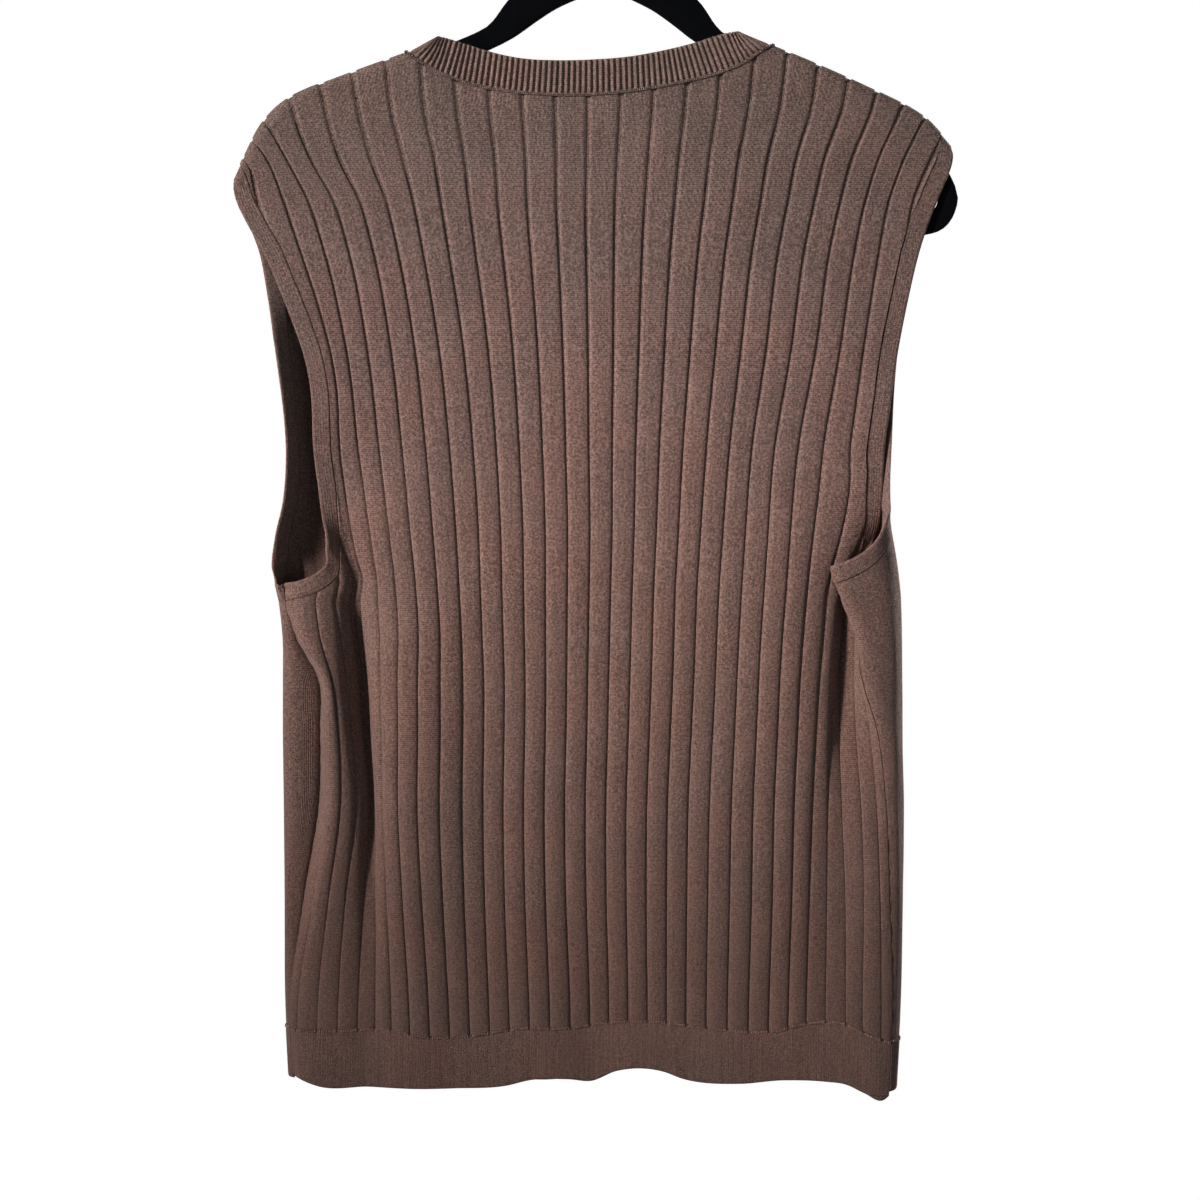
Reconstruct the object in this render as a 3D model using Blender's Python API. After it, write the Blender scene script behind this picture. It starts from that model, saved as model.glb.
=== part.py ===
"""A knitted sweater vest hanging on a thin velvet clothes hanger.

Frame: metres, +Z up.  The origin is inside the top of the hanger's hook, where a rail
touches it.  The vest's back faces -Y, its front faces +Y, and +X is to the right as the
back is looked at.  Lengths below are millimetres and become metres when a mesh is made.

The back is knitted in 31 wide flat ribs.  A place on the cloth is given by "rib", the
count of grooves from the middle groove: the back runs from -15.5 at one side seam to 15.5
at the other.  The front runs on round the body from 15.5 to 46.5, which is the first seam
again, and the two panels are plain sections of one closed loop at every height.
"""
import math

import bmesh
import bpy
import numpy as np

MM = 0.001

# ---------------------------------------------------------------- cloth sizes
SEAM_RIB = 15.5            # side seams, in ribs from the middle of the back
LOOP_RIBS = 62.0           # ribs once round the body
MIDDLE_FRONT = 31.0        # rib coordinate of the middle of the front
PIECE_GAP = 0.3            # between two pieces that are sewn together
SEAM_GAP_RIBS = 0.012      # half the gap at a side seam, in ribs
SEAM_CLOSE_RIBS = 0.22     # a column this far from the seam, where the cloth is folded
FRONT_EDGE_RIBS = (11.25, 11.75, 12.5)  # more columns of the front, where the armhole's edge twists
COLUMN_ROOM = 0.06         # two columns of the back are never closer than this, in ribs
ARM_GAP = 0.6              # and round the armholes, where the cloth is folded
GROOVE_WALL = 1.1          # cloth thickness in the groove between two ribs
PLAIN_WALL = 1.7           # cloth thickness of the plain front
RIDGE_WALL = 2.0           # cloth thickness over the shoulder ridge
HALVINGS = 24              # steps in the search for a panel's top edge
RIB_RISE_TOP = 0.6         # a rib stands this far above its groove at the shoulders
RIB_RISE_LOW = 1.7         # and this far below the chest, where it rounds out
RIB_RISE_HEIGHTS = (-600.0, -420.0, -220.0)
RIB_RISES = (RIB_RISE_LOW, 1.3, RIB_RISE_TOP)
RIB_EDGE = 0.22            # share of a rib's width taken by its rounded edge
FLAT_RIB = 10.5            # past this rib the cloth is folded and its ribs stand lower
FOLDED_RISE = 0.5          # share of the rise that is left there
WRAP_RADIUS = 5.0          # how far below the shoulder ridge the cloth turns over

# ---------------------------------------------------------------- body sections
# x of five rib lines of the back, at each height
RIB_SECTIONS = (
    # height, rib -10, rib -5, rib 0, rib 5, rib 10
    (-127.0, -225.0, -118.0, -12.5, 92.5, 193.0),
    (-164.5, -217.5, -115.0, -12.5, 88.5, 184.0),
    (-196.0, -201.5, -108.5, -13.0, 82.5, 170.0),
    (-221.5, -188.0, -104.5, -13.5, 79.0, 162.0),
    (-252.5, -178.0, -99.5, -13.0, 74.5, 155.5),
    (-315.5, -165.0, -90.0, -12.0, 68.0, 146.0),
    (-378.5, -156.5, -84.0, -11.5, 62.0, 135.0),
    (-435.0, -148.0, -80.5, -11.0, 58.0, 127.5),
    (-466.0, -144.5, -79.5, -11.5, 56.0, 124.5),
    (-494.5, -142.5, -78.5, -12.0, 55.0, 122.0),
    (-522.5, -142.0, -77.5, -12.5, 54.0, 120.0),
    (-554.0, -141.0, -77.5, -13.0, 52.5, 118.5),
    (-598.0, -140.0, -78.0, -14.0, 50.5, 116.5),
    (-660.5, -138.0, -77.0, -13.5, 49.5, 115.0),
    (-723.5, -135.5, -74.5, -11.5, 49.0, 113.0),
    (-780.0, -134.5, -72.5, -11.5, 49.0, 112.0),
)

# above the underarm: x of the cloth near each armhole, and the depth of both panels
UPPER_SECTIONS = (
    # height, back left, back right, front left, front -10, front 10, front right, back y, front y
    (-127.0, -254.5, 223.0, -264.3, -225.0, 193.0, 233.0, -4.3, 4.3),
    (-164.5, -246.5, 209.5, -256.2, -217.5, 184.0, 218.0, -4.3, 4.3),
    (-196.0, -220.0, 194.0, -226.2, -201.5, 170.0, 202.0, -4.4, 4.4),
    (-221.5, -211.0, 184.0, -218.7, -189.0, 162.5, 190.8, -4.7, 4.8),
    (-252.5, -201.5, 178.5, -211.5, -183.5, 157.0, 184.5, -5.2, 5.7),
    (-315.5, -186.5, 168.0, -202.5, -175.5, 157.0, 178.5, -6.5, 8.0),
    (-378.5, -175.5, 160.0, -197.5, -171.0, 159.5, 180.5, -8.0, 10.0),
)
UPPER_EDGE_RIB = 11.5      # the back edge columns above lie at this rib
SPREAD_RIB = 11.0          # from here out the rib lines spread to the armhole's edge

# below the underarm: the folds at each side, x and y of the inside of the cloth at nine
# places from the back panel round the seam to the front panel
FOLD_RIBS = (11.5, 13.0, 14.0, 15.0, 15.5, 16.0, 17.0, 18.0, 19.0)
LEFT_FOLDS = (
    # height, valley, pleat right, pleat crest, pleat left, side seam, four on the front
    (-435.0, -163, -5, -175.5, -9, -187.5, -12, -201, -10, -206.5, -5,
     -210, 0, -209.5, 6, -206, 11, -199.5, 13),
    (-466.0, -161, -3, -172.5, -8.5, -183.5, -12.5, -197, -11.5, -202.5, -7,
     -206, -1, -206.5, 6, -203, 12, -195, 14),
    (-494.5, -160.5, 4, -170.5, -7, -179.5, -12, -193.5, -10, -194.5, -3,
     -199.5, 0, -204, 5, -201.5, 12, -189.5, 15),
    (-522.5, -156.5, 4.5, -167, -6, -174, -10, -177, -5, -186.5, 5,
     -195.5, 3, -203.5, 6, -200.5, 12, -188, 14),
    (-554.0, -153.5, 3.5, -163, -5, -169, -8.5, -177, -5, -187.5, 4,
     -196.5, 3, -203.5, 6, -200.5, 12, -188, 14),
    (-598.0, -149.5, 2, -159.5, -4, -167.5, -6.5, -175.5, -5, -187.5, 2,
     -196, 1.5, -203, 5, -200.5, 11, -188, 13),
    (-660.5, -149.5, -2, -165, -5, -175, -6.5, -184.5, -5, -193, -2,
     -199, 0, -202, 4.5, -199.5, 10, -187.5, 12),
    (-723.5, -151, -6, -169, -7.5, -181.5, -8, -194, -6, -198.5, -3,
     -201, 0, -201.5, 5, -196, 10, -184, 11),
    (-780.0, -151.5, -8, -169.5, -9, -181.5, -9, -192.5, -7, -196, -3.5,
     -198.5, 0, -198.5, 5, -193, 10, -180, 11),
)
RIGHT_FOLDS = (
    # height, valley, inner fold, fold turn, under the flap, side seam, flap, flap, flap, edge
    (-435.0, 147, -5.5, 156.5, -2.5, 161, -6, 157, -10.5, 150, -13,
     149.5, -16.5, 158, -17, 171, -13, 180.5, -5),
    (-466.0, 142.5, -5, 152, -1.5, 160, -3.5, 160, -8.5, 152.5, -12,
     155, -15, 163.5, -14.5, 174.5, -11, 182.5, -2),
    (-494.5, 140, -5, 149, -2.5, 157.5, -2.5, 162.5, -6, 160.5, -10.5,
     165, -12.5, 172, -11.5, 179, -7.5, 183.5, 0),
    (-522.5, 137.5, -5.5, 147.5, -4, 156.5, -4, 163.5, -6, 165.5, -9.5,
     170, -10, 175.5, -8.5, 181, -4.5, 184, 2.5),
    (-554.0, 135.5, -5.5, 147, -4, 157, -3, 165, -4, 169, -7.5,
     173.5, -8, 179, -6, 183, -1, 184, 6),
    (-598.0, 133.5, -6, 147, -4, 159, -4, 168.5, -5, 174, -6,
     177.5, -6, 181.5, -3.5, 185, 2, 182, 8),
    (-660.5, 131.5, -8, 149, -7, 160.5, -7.5, 170.5, -7.5, 176, -6.5,
     180, -5, 183.5, -1, 184, 5, 177.5, 10),
    (-723.5, 130, -9.5, 149, -9, 159.5, -9, 171, -8.5, 177.5, -6.5,
     180.5, -4, 183, 1, 181, 8, 171.5, 11),
    (-780.0, 129.5, -10, 149, -10, 160, -10, 170.5, -8, 175.5, -6,
     178.5, -3.5, 180, 2.5, 177.5, 9, 167.5, 11.5),
)
# below the underarm: back depth and the middle of the front
FRONT_SECTIONS = (
    # height, back y, front -10 x, front 10 x, front -10 y, front 0 y, front 10 y
    (-435.0, -8.5, -171.0, 163.5, 13.0, 11.0, 11.0),
    (-466.0, -9.0, -168.0, 167.0, 14.0, 11.5, 12.0),
    (-494.5, -9.0, -162.5, 165.0, 14.0, 12.0, 12.0),
    (-522.5, -9.0, -160.5, 164.0, 13.0, 12.0, 12.0),
    (-554.0, -9.0, -160.5, 160.0, 13.0, 12.0, 12.0),
    (-598.0, -9.0, -160.0, 155.0, 13.0, 12.0, 12.0),
    (-660.5, -9.5, -159.0, 151.0, 12.0, 12.0, 12.0),
    (-723.5, -10.0, -156.0, 146.0, 12.0, 12.0, 12.0),
    (-780.0, -10.0, -153.0, 142.0, 12.0, 12.5, 12.0),
)
MIDDLE_X = -12.0

# ---------------------------------------------------------------- edges of the panels
ARMHOLE_RIBS = (
    # height, left, right: rib coordinate of the panel's edge above the underarm curve
    (-400.0, 11.5, 11.5),
    (-378.0, 11.5, 11.55),
    (-315.0, 11.6, 11.65),
    (-252.0, 11.75, 11.8),
    (-221.0, 12.1, 12.15),
    (-196.0, 12.35, 12.15),
    (-176.0, 12.4, 11.75),
)
ARMHOLE_KNEE = -400.0      # where the armhole's straight side turns into its round bottom
UNDERARM = {-1: -473.0, 1: -462.0}

SHOULDER_RIDGE = (
    # x, height of the cloth's top along the shoulders, and a steep roof over the neck
    (-238.0, -222.0), (-233.5, -205.0), (-231.0, -197.0), (-227.0, -188.5), (-221.5, -177.5),
    (-211.0, -164.0), (-203.0, -157.5), (-191.0, -151.0), (-174.5, -145.0), (-157.0, -138.5),
    (-140.5, -132.5), (-126.5, -127.5), (-105.0, -118.0), (-12.0, -78.0), (80.0, -115.0),
    (103.5, -123.5), (123.5, -131.5), (138.5, -138.0), (153.0, -144.5), (167.0, -151.0),
    (181.0, -157.5), (193.0, -164.0), (202.0, -170.5), (209.0, -178.0), (217.0, -189.0),
)
BACK_NECK_SEAM = (
    # x, height of the chain-stitched seam under the back neckband
    (-126.0, -129.5), (-119.0, -133.5), (-109.0, -139.5), (-95.0, -145.5), (-74.5, -151.0),
    (-52.0, -154.0), (-32.0, -155.0), (-12.5, -155.0), (7.5, -153.5), (29.0, -150.5),
    (50.0, -146.5), (72.0, -140.5), (87.5, -133.5), (94.0, -129.0), (103.0, -125.0),
)
BACK_NECK_TOP = (
    # x, height of the back neckband's upper edge
    (-105.0, -119.0), (-99.0, -120.5), (-78.0, -127.0), (-64.5, -130.5), (-52.5, -132.5),
    (-32.5, -133.5), (-9.0, -133.0), (14.5, -131.0), (31.5, -128.0), (54.5, -122.5),
    (73.0, -117.0), (80.0, -116.0),
)
V_SEAM_POINT = (-12.0, -345.0)     # lowest point of the front neckline's seam
V_TOP_POINT = (-12.0, -314.0)      # lowest point of the neckband's free edge
V_BOW = 7.0                        # the V's sides bow out by this much
NECK_END_STEPS = (0.0, 1.0, 3.0, 7.5)  # columns this far inside each end of the neck seam
V_FINE_RIBS = 7.5                  # the front's columns are twice as close within this many ribs

HEM_JOIN = (
    # x, height of the seam between the ribs and the hem band, on the back
    (-199.0, -741.0), (-169.0, -741.5), (-142.0, -740.5), (-109.0, -745.0), (-90.0, -744.5),
    (-55.0, -739.5), (-21.5, -739.0), (0.0, -736.0), (23.0, -735.0), (61.5, -739.0),
    (104.5, -741.0), (123.5, -736.5), (148.0, -737.0), (159.0, -742.0), (178.0, -750.0),
)
HEM_EDGE = (
    # x, height of the lower edge on the back
    (-199.0, -769.0), (-191.0, -773.5), (-183.0, -776.5), (-150.0, -777.5), (-96.0, -778.0),
    (-64.5, -776.5), (-47.0, -772.5), (-25.0, -772.5), (-10.5, -774.0), (5.5, -767.5),
    (34.0, -767.5), (46.5, -772.0), (82.5, -775.0), (110.0, -773.0), (136.0, -774.0),
    (149.5, -776.0), (160.0, -781.0), (172.0, -786.0), (179.0, -781.0),
)
FRONT_HEM_JOIN = -743.0
FRONT_HEM_EDGE = -776.0
FRONT_HEM_WAVE = 2.5

# ---------------------------------------------------------------- bands
ARM_BAND_WIDTH = 11.5
AWAY_PASSES = 2                    # how often the band's direction is evened out
UPRIGHT = 3.0                      # how far it is turned upright in the folds under the arm
ARM_BAND_WALL = 2.0
NECK_BAND_WALL = 1.5
NECK_RIB_RISE = 0.8
NECK_RIB_PITCH = 3.4                # on the band's free edge
TURN_STEPS = (0.05, 0.25, 0.6)      # extra places in the first step past the shoulder ridge
HEM_WALL = 1.9

# ---------------------------------------------------------------- hanger
HANGER_TILT = math.radians(1.2)    # the right shoulder hangs lower
HANGER_THICK = 5.0
HANGER_BEVEL = 1.6
HANGER_HALF = (
    # outer x, outer height, inner x, inner height, from the neck round to the bar's middle
    (0.0, -72.0, 0.0, -89.0),
    (10.0, -72.5, 8.0, -90.5),
    (24.0, -77.0, 16.5, -94.0),
    (42.0, -84.0, 30.0, -100.5),
    (58.5, -93.5, 42.0, -108.5),
    (70.5, -109.5, 57.0, -119.5),
    (79.0, -116.0, 72.0, -127.5),
    (100.0, -125.3, 95.0, -138.0),
    (126.0, -135.0, 121.0, -148.0),
    (154.0, -145.5, 148.0, -158.5),
    (185.0, -158.5, 178.0, -171.5),
    (197.0, -165.0, 188.5, -177.0),
    (205.5, -173.5, 196.0, -184.0),
    (213.0, -186.5, 202.0, -193.0),
    (218.5, -198.0, 206.5, -202.0),
    (223.0, -207.0, 210.0, -209.5),
    (225.0, -214.6, 212.3, -214.9),
    (223.4, -223.2, 211.3, -220.0),
    (219.4, -230.9, 208.5, -223.8),
    (212.7, -236.1, 205.8, -225.8),
    (200.0, -239.4, 200.0, -226.8),
    (100.0, -239.4, 100.0, -226.8),
    (0.0, -239.4, 0.0, -226.8),
)
HOOK_WIRE = 1.8                    # wire radius
HOOK_LOOP = 20.8                   # loop radius on the wire's centre line
HOOK_OPEN_ANGLE = 205.0            # the loop runs from its join with the stem to here
COLLAR_RADIUS = 4.6
COLLAR_HEIGHT = 11.0

COLOURS = {
    # name, base colour, roughness, metallic
    "knit": ((0.185, 0.118, 0.092), 0.95, 0.0),
    "velvet": ((0.008, 0.008, 0.009), 0.95, 0.0),
    "steel": ((0.72, 0.72, 0.73), 0.25, 1.0),
}


# ---------------------------------------------------------------- curves through tables
def smooth(knots, values, at):
    """A smooth curve through values at rising knots, read at the places `at`."""
    knots = np.asarray(knots, float)
    values = np.asarray(values, float)
    at = np.clip(np.asarray(at, float), knots[0], knots[-1])
    steps = np.diff(knots)
    slopes = np.diff(values, axis=0) / steps.reshape((-1,) + (1,) * (values.ndim - 1))
    left = steps[:-1].reshape((-1,) + (1,) * (values.ndim - 1))
    right = steps[1:].reshape((-1,) + (1,) * (values.ndim - 1))
    inner = (slopes[:-1] * right + slopes[1:] * left) / (left + right)
    tangents = np.concatenate([slopes[:1], inner, slopes[-1:]])
    i = np.clip(np.searchsorted(knots, at, side="right") - 1, 0, len(knots) - 2)
    step = steps[i]
    t = (at - knots[i]) / step
    if values.ndim > 1:
        t = t[:, None]
        step = step[:, None]
    return ((1 + 2 * t) * (1 - t) ** 2 * values[i] + t * (1 - t) ** 2 * step * tangents[i]
            + t * t * (3 - 2 * t) * values[i + 1] - t * t * (1 - t) * step * tangents[i + 1])


def on_table(table, x):
    """Height from a table of (x, height) rows, along a smooth curve."""
    rows = np.array(table)
    return smooth(rows[:, 0], rows[:, 1], x)


# ---------------------------------------------------------------- the body's closed loop
def loop_columns():
    """Rib coordinates and the (x, y) of every section, one row for each height."""
    ribs = [-15.5, -15.0, -14.0, -13.0, -11.5, -10.0, -5.0, 0.0, 5.0, 10.0]
    ribs += list(FOLD_RIBS)
    ribs += [21.0, 31.0, 41.0, 43.0, 44.0, 45.0, 46.0, 46.5]
    rows = []
    for i, section in enumerate(RIB_SECTIONS):
        lines = section[1:]
        if i < len(UPPER_SECTIONS):
            upper = UPPER_SECTIONS[i]
            depth = upper[7]
            front_depth = upper[8]
            left = upper_side(lines[0], upper[1], upper[3], depth, front_depth)
            right = upper_side(lines[4], upper[2], upper[6], depth, front_depth)
            front = ((upper[5], front_depth), (MIDDLE_X, front_depth), (upper[4], front_depth))
        else:
            j = i - len(UPPER_SECTIONS)
            left = pairs(LEFT_FOLDS[j][1:])
            right = pairs(RIGHT_FOLDS[j][1:])
            low = FRONT_SECTIONS[j]
            depth = low[1]
            front = ((low[3], low[6]), (MIDDLE_X, low[5]), (low[2], low[4]))
        row = [left[4], left[3], left[2], left[1], left[0]]
        row += [(x, depth) for x in lines]
        row += list(right)
        row += list(front)
        row += [left[8], left[7], left[6], left[5], left[4]]
        rows.append(row)
    heights = [section[0] for section in RIB_SECTIONS]
    return np.array(heights), np.array(ribs), np.array(rows, float)


def pairs(values):
    """(x, y) pairs from a flat row."""
    return [(values[i], values[i + 1]) for i in range(0, len(values), 2)]


def upper_side(line, edge, front_edge, depth, front_depth):
    """The loop past an armhole's edge, where there is no cloth: it only steers the curve."""
    step = edge - line
    beyond = edge + step
    front_beyond = front_edge + step / 1.5
    return [(edge, depth), (beyond, depth), (beyond, depth), (beyond, depth), (beyond, 0.0),
            (beyond, front_depth), (beyond, front_depth), (front_beyond, front_depth),
            (front_edge, front_depth)]


HEIGHTS, LOOP_KNOTS, LOOP_ROWS = loop_columns()


LOOP_ENDS = np.concatenate([LOOP_KNOTS[-3:-1] - LOOP_RIBS, LOOP_KNOTS, LOOP_KNOTS[1:3] + LOOP_RIBS])


def body(ribs, heights):
    """Inside surface of the body before it turns over the shoulders: x, y, z in mm."""
    ribs = np.atleast_1d(np.asarray(ribs, float))
    heights = np.atleast_1d(np.asarray(heights, float))
    ribs = np.mod(ribs + SEAM_RIB, LOOP_RIBS) - SEAM_RIB
    count = LOOP_ROWS.shape[1]
    flat = LOOP_ROWS[::-1].reshape(len(HEIGHTS), count * 2)
    rows = smooth(HEIGHTS[::-1], flat, heights).reshape(-1, count, 2)
    closed = np.concatenate([rows[:, -3:-1], rows, rows[:, 1:3]], axis=1)
    i = np.clip(np.searchsorted(LOOP_ENDS, ribs, side="right") - 1, 1, len(LOOP_ENDS) - 3)
    every = np.arange(len(ribs))
    before, start, end, after = (closed[every, i + k] for k in (-1, 0, 1, 2))
    steps = np.diff(LOOP_ENDS)
    step_before, step, step_after = (steps[i + k][:, None] for k in (-1, 0, 1))
    slope_before = (start - before) / step_before
    slope = (end - start) / step
    slope_after = (after - end) / step_after
    leave = (slope_before * step + slope * step_before) / (step + step_before)
    arrive = (slope * step_after + slope_after * step) / (step_after + step)
    t = ((ribs - LOOP_ENDS[i]) / steps[i])[:, None]
    plan = ((1 + 2 * t) * (1 - t) ** 2 * start + t * (1 - t) ** 2 * step * leave
            + t * t * (3 - 2 * t) * end - t * t * (1 - t) * step * arrive)
    return np.column_stack([plan, heights])


def ridge_slope(x):
    step = 1.0
    return (on_table(SHOULDER_RIDGE, x + step) - on_table(SHOULDER_RIDGE, x - step)) / (2 * step)


def inner_ridge(x):
    """Height of the inside of the cloth along the shoulder ridge."""
    slope = ridge_slope(x)
    return on_table(SHOULDER_RIDGE, x) - RIDGE_WALL * np.sqrt(1 + slope * slope)


def turned(points, outward):
    """Bend body points over the shoulder ridge, with their outward directions."""
    x = points[:, 0]
    slope = ridge_slope(x)
    below = (inner_ridge(x) - points[:, 2]) / np.sqrt(1 + slope * slope)
    sine = np.clip(1.0 - below / WRAP_RADIUS, 0.0, 0.9990)
    cosine = np.sqrt(1 - sine * sine)
    depth = points[:, 1]
    bent = points.copy()
    bent[:, 1] = depth * cosine
    up = np.stack([-slope, np.zeros(len(x)), np.ones(len(x))], axis=1)
    up /= np.linalg.norm(up, axis=1)[:, None]
    half = np.maximum(np.abs(depth), 1.0)
    mixed = outward * (cosine / half)[:, None] + up * (sine / WRAP_RADIUS)[:, None]
    plain = sine < 1e-6
    mixed[plain] = outward[plain]
    return bent, mixed / np.linalg.norm(mixed, axis=1)[:, None]


def cloth(ribs, heights):
    """Inside points of the cloth and the directions that point out of it."""
    rib_step = 0.05
    height_step = 0.5
    across = body(ribs + rib_step, heights) - body(ribs - rib_step, heights)
    along = body(ribs, heights + height_step) - body(ribs, heights - height_step)
    outward = np.cross(across, along)
    outward /= np.linalg.norm(outward, axis=1)[:, None]
    return turned(body(ribs, heights), outward)


def rib_rise(ribs, heights):
    """How far a rib stands above its groove."""
    share = np.mod(ribs, 1.0)
    edge = np.minimum(share, 1.0 - share) / RIB_EDGE
    round_edge = np.sin(np.clip(edge, 0, 1) * math.pi / 2)
    folded = np.where(np.abs(ribs) > FLAT_RIB, FOLDED_RISE, 1.0)
    return np.interp(heights, RIB_RISE_HEIGHTS, RIB_RISES) * round_edge * folded


# ---------------------------------------------------------------- panel outlines
def armhole_rib(side, height):
    """Rib coordinate, without its sign, of a panel's edge above the underarm curve."""
    rows = ARMHOLE_RIBS
    column = 1 if side < 0 else 2
    return float(np.interp(height, [row[0] for row in rows], [row[column] for row in rows]))


def underarm_height(rib):
    """Height of the round bottom of the armhole at a rib between the knee and the seam."""
    side = -1 if rib < 0 else 1
    share = (SEAM_RIB - abs(rib)) / (SEAM_RIB - UPPER_EDGE_RIB)
    drop = math.sqrt(max(0.0, 1.0 - share * share))
    return ARMHOLE_KNEE + (UNDERARM[side] - ARMHOLE_KNEE) * drop


def v_line(start, point, share):
    """Front neckline from a shoulder to the lowest point, bowed outward."""
    start = np.array(start)
    point = np.array(point)
    way = point - start
    normal = np.array([way[1], -way[0]]) / np.hypot(*way)
    if normal[0] * (start[0] - point[0]) < 0:
        normal = -normal
    return start + way * share + normal * V_BOW * math.sin(math.pi * share)


def front_neckline():
    """Points of the front neckline's seam, from the left shoulder to the right one."""
    shares = np.linspace(0, 1, 41)
    points = [v_line(BACK_NECK_SEAM[0], V_SEAM_POINT, s) for s in shares]
    points += [v_line(BACK_NECK_SEAM[-1], V_SEAM_POINT, s) for s in shares[-2::-1]]
    return np.array(points)


FRONT_NECKLINE = front_neckline()


def neck_seam_height(x, front):
    """Height of the neckline's seam at x."""
    if front:
        return float(np.interp(x, FRONT_NECKLINE[:, 0], FRONT_NECKLINE[:, 1]))
    return float(on_table(BACK_NECK_SEAM, [x])[0])


def top_height(rib_line, front):
    """Where a rib line ends at the top: at the shoulder ridge or at the neck seam.

    rib_line gives the line's rib coordinate at a height.
    """
    low = -420.0
    high = -90.0
    neck_left = BACK_NECK_SEAM[0][0]
    neck_right = BACK_NECK_SEAM[-1][0]
    for _ in range(HALVINGS):
        middle = (low + high) / 2
        x = body(rib_line(middle), middle)[0, 0]
        limit = float(inner_ridge(np.array([x]))[0])
        if neck_left < x < neck_right:
            limit = min(limit, neck_seam_height(x, front))
        if middle < limit:
            low = middle
        else:
            high = middle
    return low


def hem_join_height(rib):
    if rib > SEAM_RIB:
        return FRONT_HEM_JOIN + front_hem_shift(rib)
    x = body(rib, -745.0)[0, 0]
    return float(on_table(HEM_JOIN, [x])[0])


def hem_edge_height(rib):
    if rib > SEAM_RIB:
        wave = FRONT_HEM_WAVE * math.sin(rib * 0.9) * math.sin(math.pi * (rib - SEAM_RIB) / 31.0)
        return FRONT_HEM_EDGE + wave + front_hem_shift(rib)
    x = body(rib, -775.0)[0, 0]
    return float(on_table(HEM_EDGE, [x])[0])


def front_hem_shift(rib):
    """The front's hem meets the back's at both side seams."""
    share = (rib - SEAM_RIB) / (LOOP_RIBS / 2)
    return -5.0 * (1 - share) ** 3 + 3.5 * share ** 3


# ---------------------------------------------------------------- meshes
def new_object(name, points, faces, colour):
    mesh = bpy.data.meshes.new(name)
    mesh.from_pydata([tuple(p * MM for p in point) for point in points], [], faces)
    mesh.validate()
    work = bmesh.new()
    work.from_mesh(mesh)
    bmesh.ops.recalc_face_normals(work, faces=work.faces)
    work.to_mesh(mesh)
    work.free()
    mesh.shade_smooth()
    mesh.set_sharp_from_angle(angle=math.radians(50))
    piece = bpy.data.objects.new(name, mesh)
    bpy.context.collection.objects.link(piece)
    piece.data.materials.append(material(colour))
    return piece


def material(name):
    found = bpy.data.materials.get(name)
    if found:
        return found
    colour, roughness, metallic = COLOURS[name]
    made = bpy.data.materials.new(name)
    made.use_nodes = True
    shader = made.node_tree.nodes["Principled BSDF"]
    shader.inputs["Base Color"].default_value = (*colour, 1.0)
    shader.inputs["Roughness"].default_value = roughness
    shader.inputs["Metallic"].default_value = metallic
    return made


def wall(name, outer, inner, kept, colour):
    """A closed wall from a grid of outer points and a sparser grid of inner points.

    outer is [row][column]; inner is [row][kept column], and kept lists the outer columns
    that have an inner point.  The two grids share their rows.
    """
    rows = len(outer)
    columns = len(outer[0])
    points = [p for row in outer for p in row] + [p for row in inner for p in row]
    inside = rows * columns
    few = len(kept)

    def out(r, c):
        return r * columns + c

    def inn(r, k):
        return inside + r * few + k

    faces = []
    for r in range(rows - 1):
        for c in range(columns - 1):
            faces.append((out(r, c), out(r, c + 1), out(r + 1, c + 1), out(r + 1, c)))
        for k in range(few - 1):
            faces.append((inn(r, k), inn(r + 1, k), inn(r + 1, k + 1), inn(r, k + 1)))
        faces.append((out(r, 0), out(r + 1, 0), inn(r + 1, 0), inn(r, 0)))
        last = few - 1
        faces.append((out(r, columns - 1), inn(r, last), inn(r + 1, last), out(r + 1, columns - 1)))
    for r in (0, rows - 1):
        for k in range(few - 1):
            edge = [out(r, c) for c in range(kept[k], kept[k + 1] + 1)]
            faces.append(edge + [inn(r, k + 1), inn(r, k)])
    return new_object(name, points, faces, colour)


def rib_at(x, height, front):
    """Rib coordinate at x on the back or the front."""
    ribs = np.arange(-12.0, 12.1, 1.0)
    if front:
        ribs = MIDDLE_FRONT - ribs
    xs = body(ribs, np.full(len(ribs), height))[:, 0]
    return float(np.interp(x, xs, ribs))


def neck_end_ribs(front):
    """Rib lines close together where the neck seam reaches the shoulder ridge."""
    ribs = []
    for (x, height), inward in ((BACK_NECK_SEAM[0], 1), (BACK_NECK_SEAM[-1], -1)):
        ribs += [rib_at(x + inward * step, height, front) for step in NECK_END_STEPS]
    return ribs


NECK_RIBS = {False: neck_end_ribs(False), True: neck_end_ribs(True)}


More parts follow.
